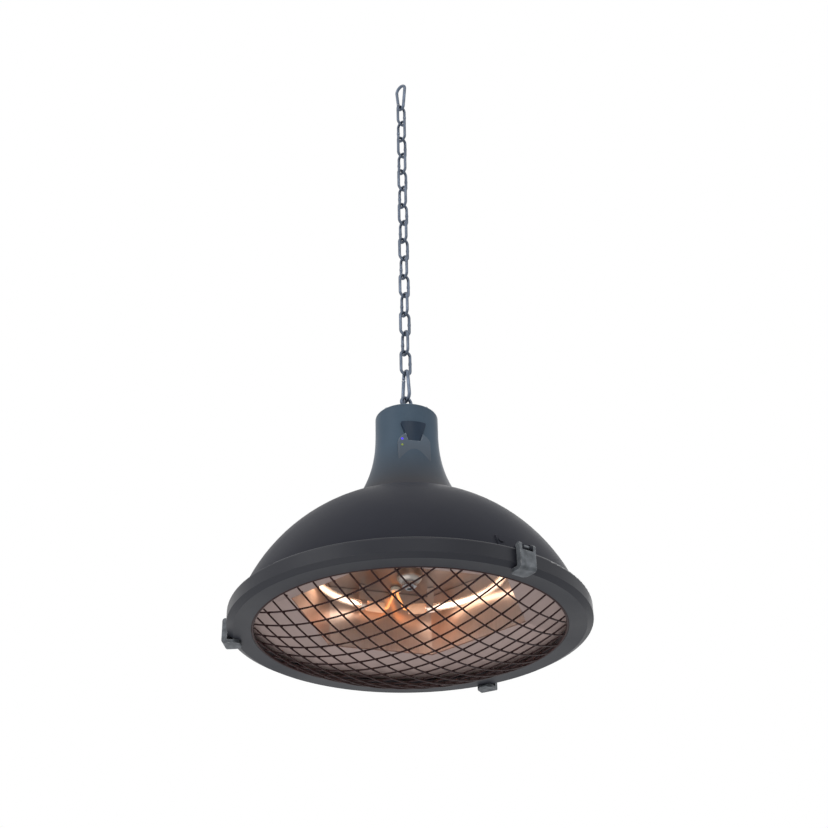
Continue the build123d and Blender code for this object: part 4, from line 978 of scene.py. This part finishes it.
class HEATER_OT_stage(bpy.types.Operator):
    """Set up the floor, the even light, the lamps and the camera"""

    bl_idname = "heater.build_stage"
    bl_label = "Stage"

    def execute(self, context):
        stage = context.scene.heater_stage
        context.scene.view_settings.view_transform = "Standard"
        self.make_world(context, stage.world_light)
        self.make_floor(context, stage)
        self.make_lamps(context, stage)
        self.make_camera(context, stage)
        return {"FINISHED"}

    def seen(self, tree):
        """One for a ray that should see the white background."""
        path = tree.nodes.new("ShaderNodeLightPath")
        shiny = calculate(tree, "MAXIMUM", path.outputs["Is Glossy Ray"], path.outputs["Is Transmission Ray"])
        return calculate(tree, "MAXIMUM", path.outputs["Is Camera Ray"], shiny)

    def make_world(self, context, strength):
        world = bpy.data.worlds.new("even_light")
        world.use_nodes = True
        tree = world.node_tree
        tree.nodes.clear()
        even = put(tree, "ShaderNodeBackground", Color=SKY, Strength=strength)
        white = put(tree, "ShaderNodeBackground", Color=WHITE, Strength=1.0)
        mix = tree.nodes.new("ShaderNodeMixShader")
        feed(tree, mix.inputs[0], self.seen(tree))
        feed(tree, mix.inputs[1], even.outputs[0])
        feed(tree, mix.inputs[2], white.outputs[0])
        feed(tree, tree.nodes.new("ShaderNodeOutputWorld").inputs["Surface"], mix.outputs[0])
        context.scene.world = world

    def make_floor(self, context, stage):
        mesh = bmesh.new()
        bmesh.ops.create_grid(mesh, x_segments=8, y_segments=8, size=stage.floor_reach)
        data = bpy.data.meshes.new("studio_floor")
        mesh.to_mesh(data)
        mesh.free()
        floor = bpy.data.objects.new("studio_floor", data)
        floor.location = (0, 0, stage.floor_height)
        context.scene.collection.objects.link(floor)
        material, tree, shader = start_material("pale_floor")
        drift = use_group(tree, "Surface Grain", Grain_Scale=60.0, Drift_Scale=1.5)["Drift"]
        feed(tree, shader.inputs["Base Color"], blend_colour(tree, drift, FLOOR_GREY, FLOOR_WHITE))
        shader.inputs["Roughness"].default_value = 0.85
        white = put(tree, "ShaderNodeEmission", Color=WHITE, Strength=1.0)
        mix = tree.nodes.new("ShaderNodeMixShader")
        white_share = 0.6
        feed(tree, mix.inputs[0], multiply(tree, self.seen(tree), white_share))
        feed(tree, mix.inputs[1], shader.outputs[0])
        feed(tree, mix.inputs[2], white.outputs[0])
        feed(tree, tree.nodes["Material Output"].inputs["Surface"], mix.outputs[0])
        data.materials.append(material)

    def make_lamps(self, context, stage):
        """Five square lamps, each with its place, its width and its share of the power."""
        for name, place, size, share in (
            ("left_softbox", (-2.3, -1.6, 0.9), 1.8, 1.0),
            ("right_softbox", (2.5, -1.2, 0.3), 1.5, 0.3),
            ("back_softbox", (0.6, 2.4, 0.8), 1.6, 0.3),
            ("front_softbox", (0.3, -2.3, 1.1), 1.3, 0.6),
            ("low_softbox", (-0.8, -0.6, -2.3), 2.0, 0.6),
        ):
            light = bpy.data.lights.new(name, "AREA")
            light.energy = stage.lamp_power * share
            light.size = size
            lamp = bpy.data.objects.new(name, light)
            lamp.visible_camera = False
            lamp.location = place
            aim = Vector((0, 0, -stage.aim_drop)) - Vector(place)
            lamp.rotation_euler = aim.to_track_quat("-Z", "Y").to_euler()
            context.scene.collection.objects.link(lamp)

    def make_camera(self, context, stage):
        data = bpy.data.cameras.new("photo_camera")
        data.lens = stage.lens
        data.sensor_width = stage.sensor_width
        camera = bpy.data.objects.new("photo_camera", data)
        forward = Vector((0, math.cos(stage.camera_pitch), math.sin(stage.camera_pitch)))
        up = Vector((0, -math.sin(stage.camera_pitch), math.cos(stage.camera_pitch)))
        right = Vector((1, 0, 0))
        turned_right = right * math.cos(stage.camera_roll) - up * math.sin(stage.camera_roll)
        turned_up = right * math.sin(stage.camera_roll) + up * math.cos(stage.camera_roll)
        axes = Matrix((turned_right, turned_up, -forward)).transposed()
        camera.matrix_world = Matrix.Translation(stage.camera_place) @ axes.to_4x4()
        context.scene.collection.objects.link(camera)
        context.scene.camera = camera


PIECE_OPERATORS = (
    HEATER_OT_groups,
    HEATER_OT_chain,
    HEATER_OT_hooks,
    HEATER_OT_neck,
    HEATER_OT_receiver,
    HEATER_OT_dome,
    HEATER_OT_grille,
    HEATER_OT_reflector,
    HEATER_OT_tubes,
    HEATER_OT_clips,
    HEATER_OT_stage,
)


class HEATER_PT_sidebar(bpy.types.Panel):
    """Sidebar panel that lists the heater's operators and settings"""

    bl_idname = "HEATER_PT_sidebar"
    bl_label = "Hanging Heater"
    bl_space_type = "VIEW_3D"
    bl_region_type = "UI"
    bl_category = "Heater"

    def draw(self, context):
        column = self.layout.column(align=True)
        for operator in PIECE_OPERATORS:
            column.operator(operator.bl_idname)
        scene = context.scene
        for settings in (scene.heater_finish, scene.heater_detail, scene.heater_stage):
            box = self.layout.box()
            for key in settings.__annotations__:
                box.prop(settings, key)


SETTINGS = (HeaterFinish, HeaterDetail, HeaterStage)


def register():
    for item in (*SETTINGS, *PIECE_OPERATORS, HEATER_PT_sidebar):
        bpy.utils.register_class(item)
    bpy.types.Scene.heater_finish = bpy.props.PointerProperty(type=HeaterFinish)
    bpy.types.Scene.heater_detail = bpy.props.PointerProperty(type=HeaterDetail)
    bpy.types.Scene.heater_stage = bpy.props.PointerProperty(type=HeaterStage)


def unregister():
    del bpy.types.Scene.heater_stage
    del bpy.types.Scene.heater_detail
    del bpy.types.Scene.heater_finish
    for item in reversed((*SETTINGS, *PIECE_OPERATORS, HEATER_PT_sidebar)):
        bpy.utils.unregister_class(item)


def main():
    register()
    bpy.ops.heater.build_effects()
    bpy.ops.heater.dress_chain()
    bpy.ops.heater.dress_hooks()
    bpy.ops.heater.dress_neck()
    bpy.ops.heater.dress_receiver()
    bpy.ops.heater.dress_dome()
    bpy.ops.heater.dress_grille()
    bpy.ops.heater.dress_reflector()
    bpy.ops.heater.dress_tubes()
    bpy.ops.heater.dress_clips()
    bpy.ops.heater.build_stage()


if __name__ == "__main__":
    main()
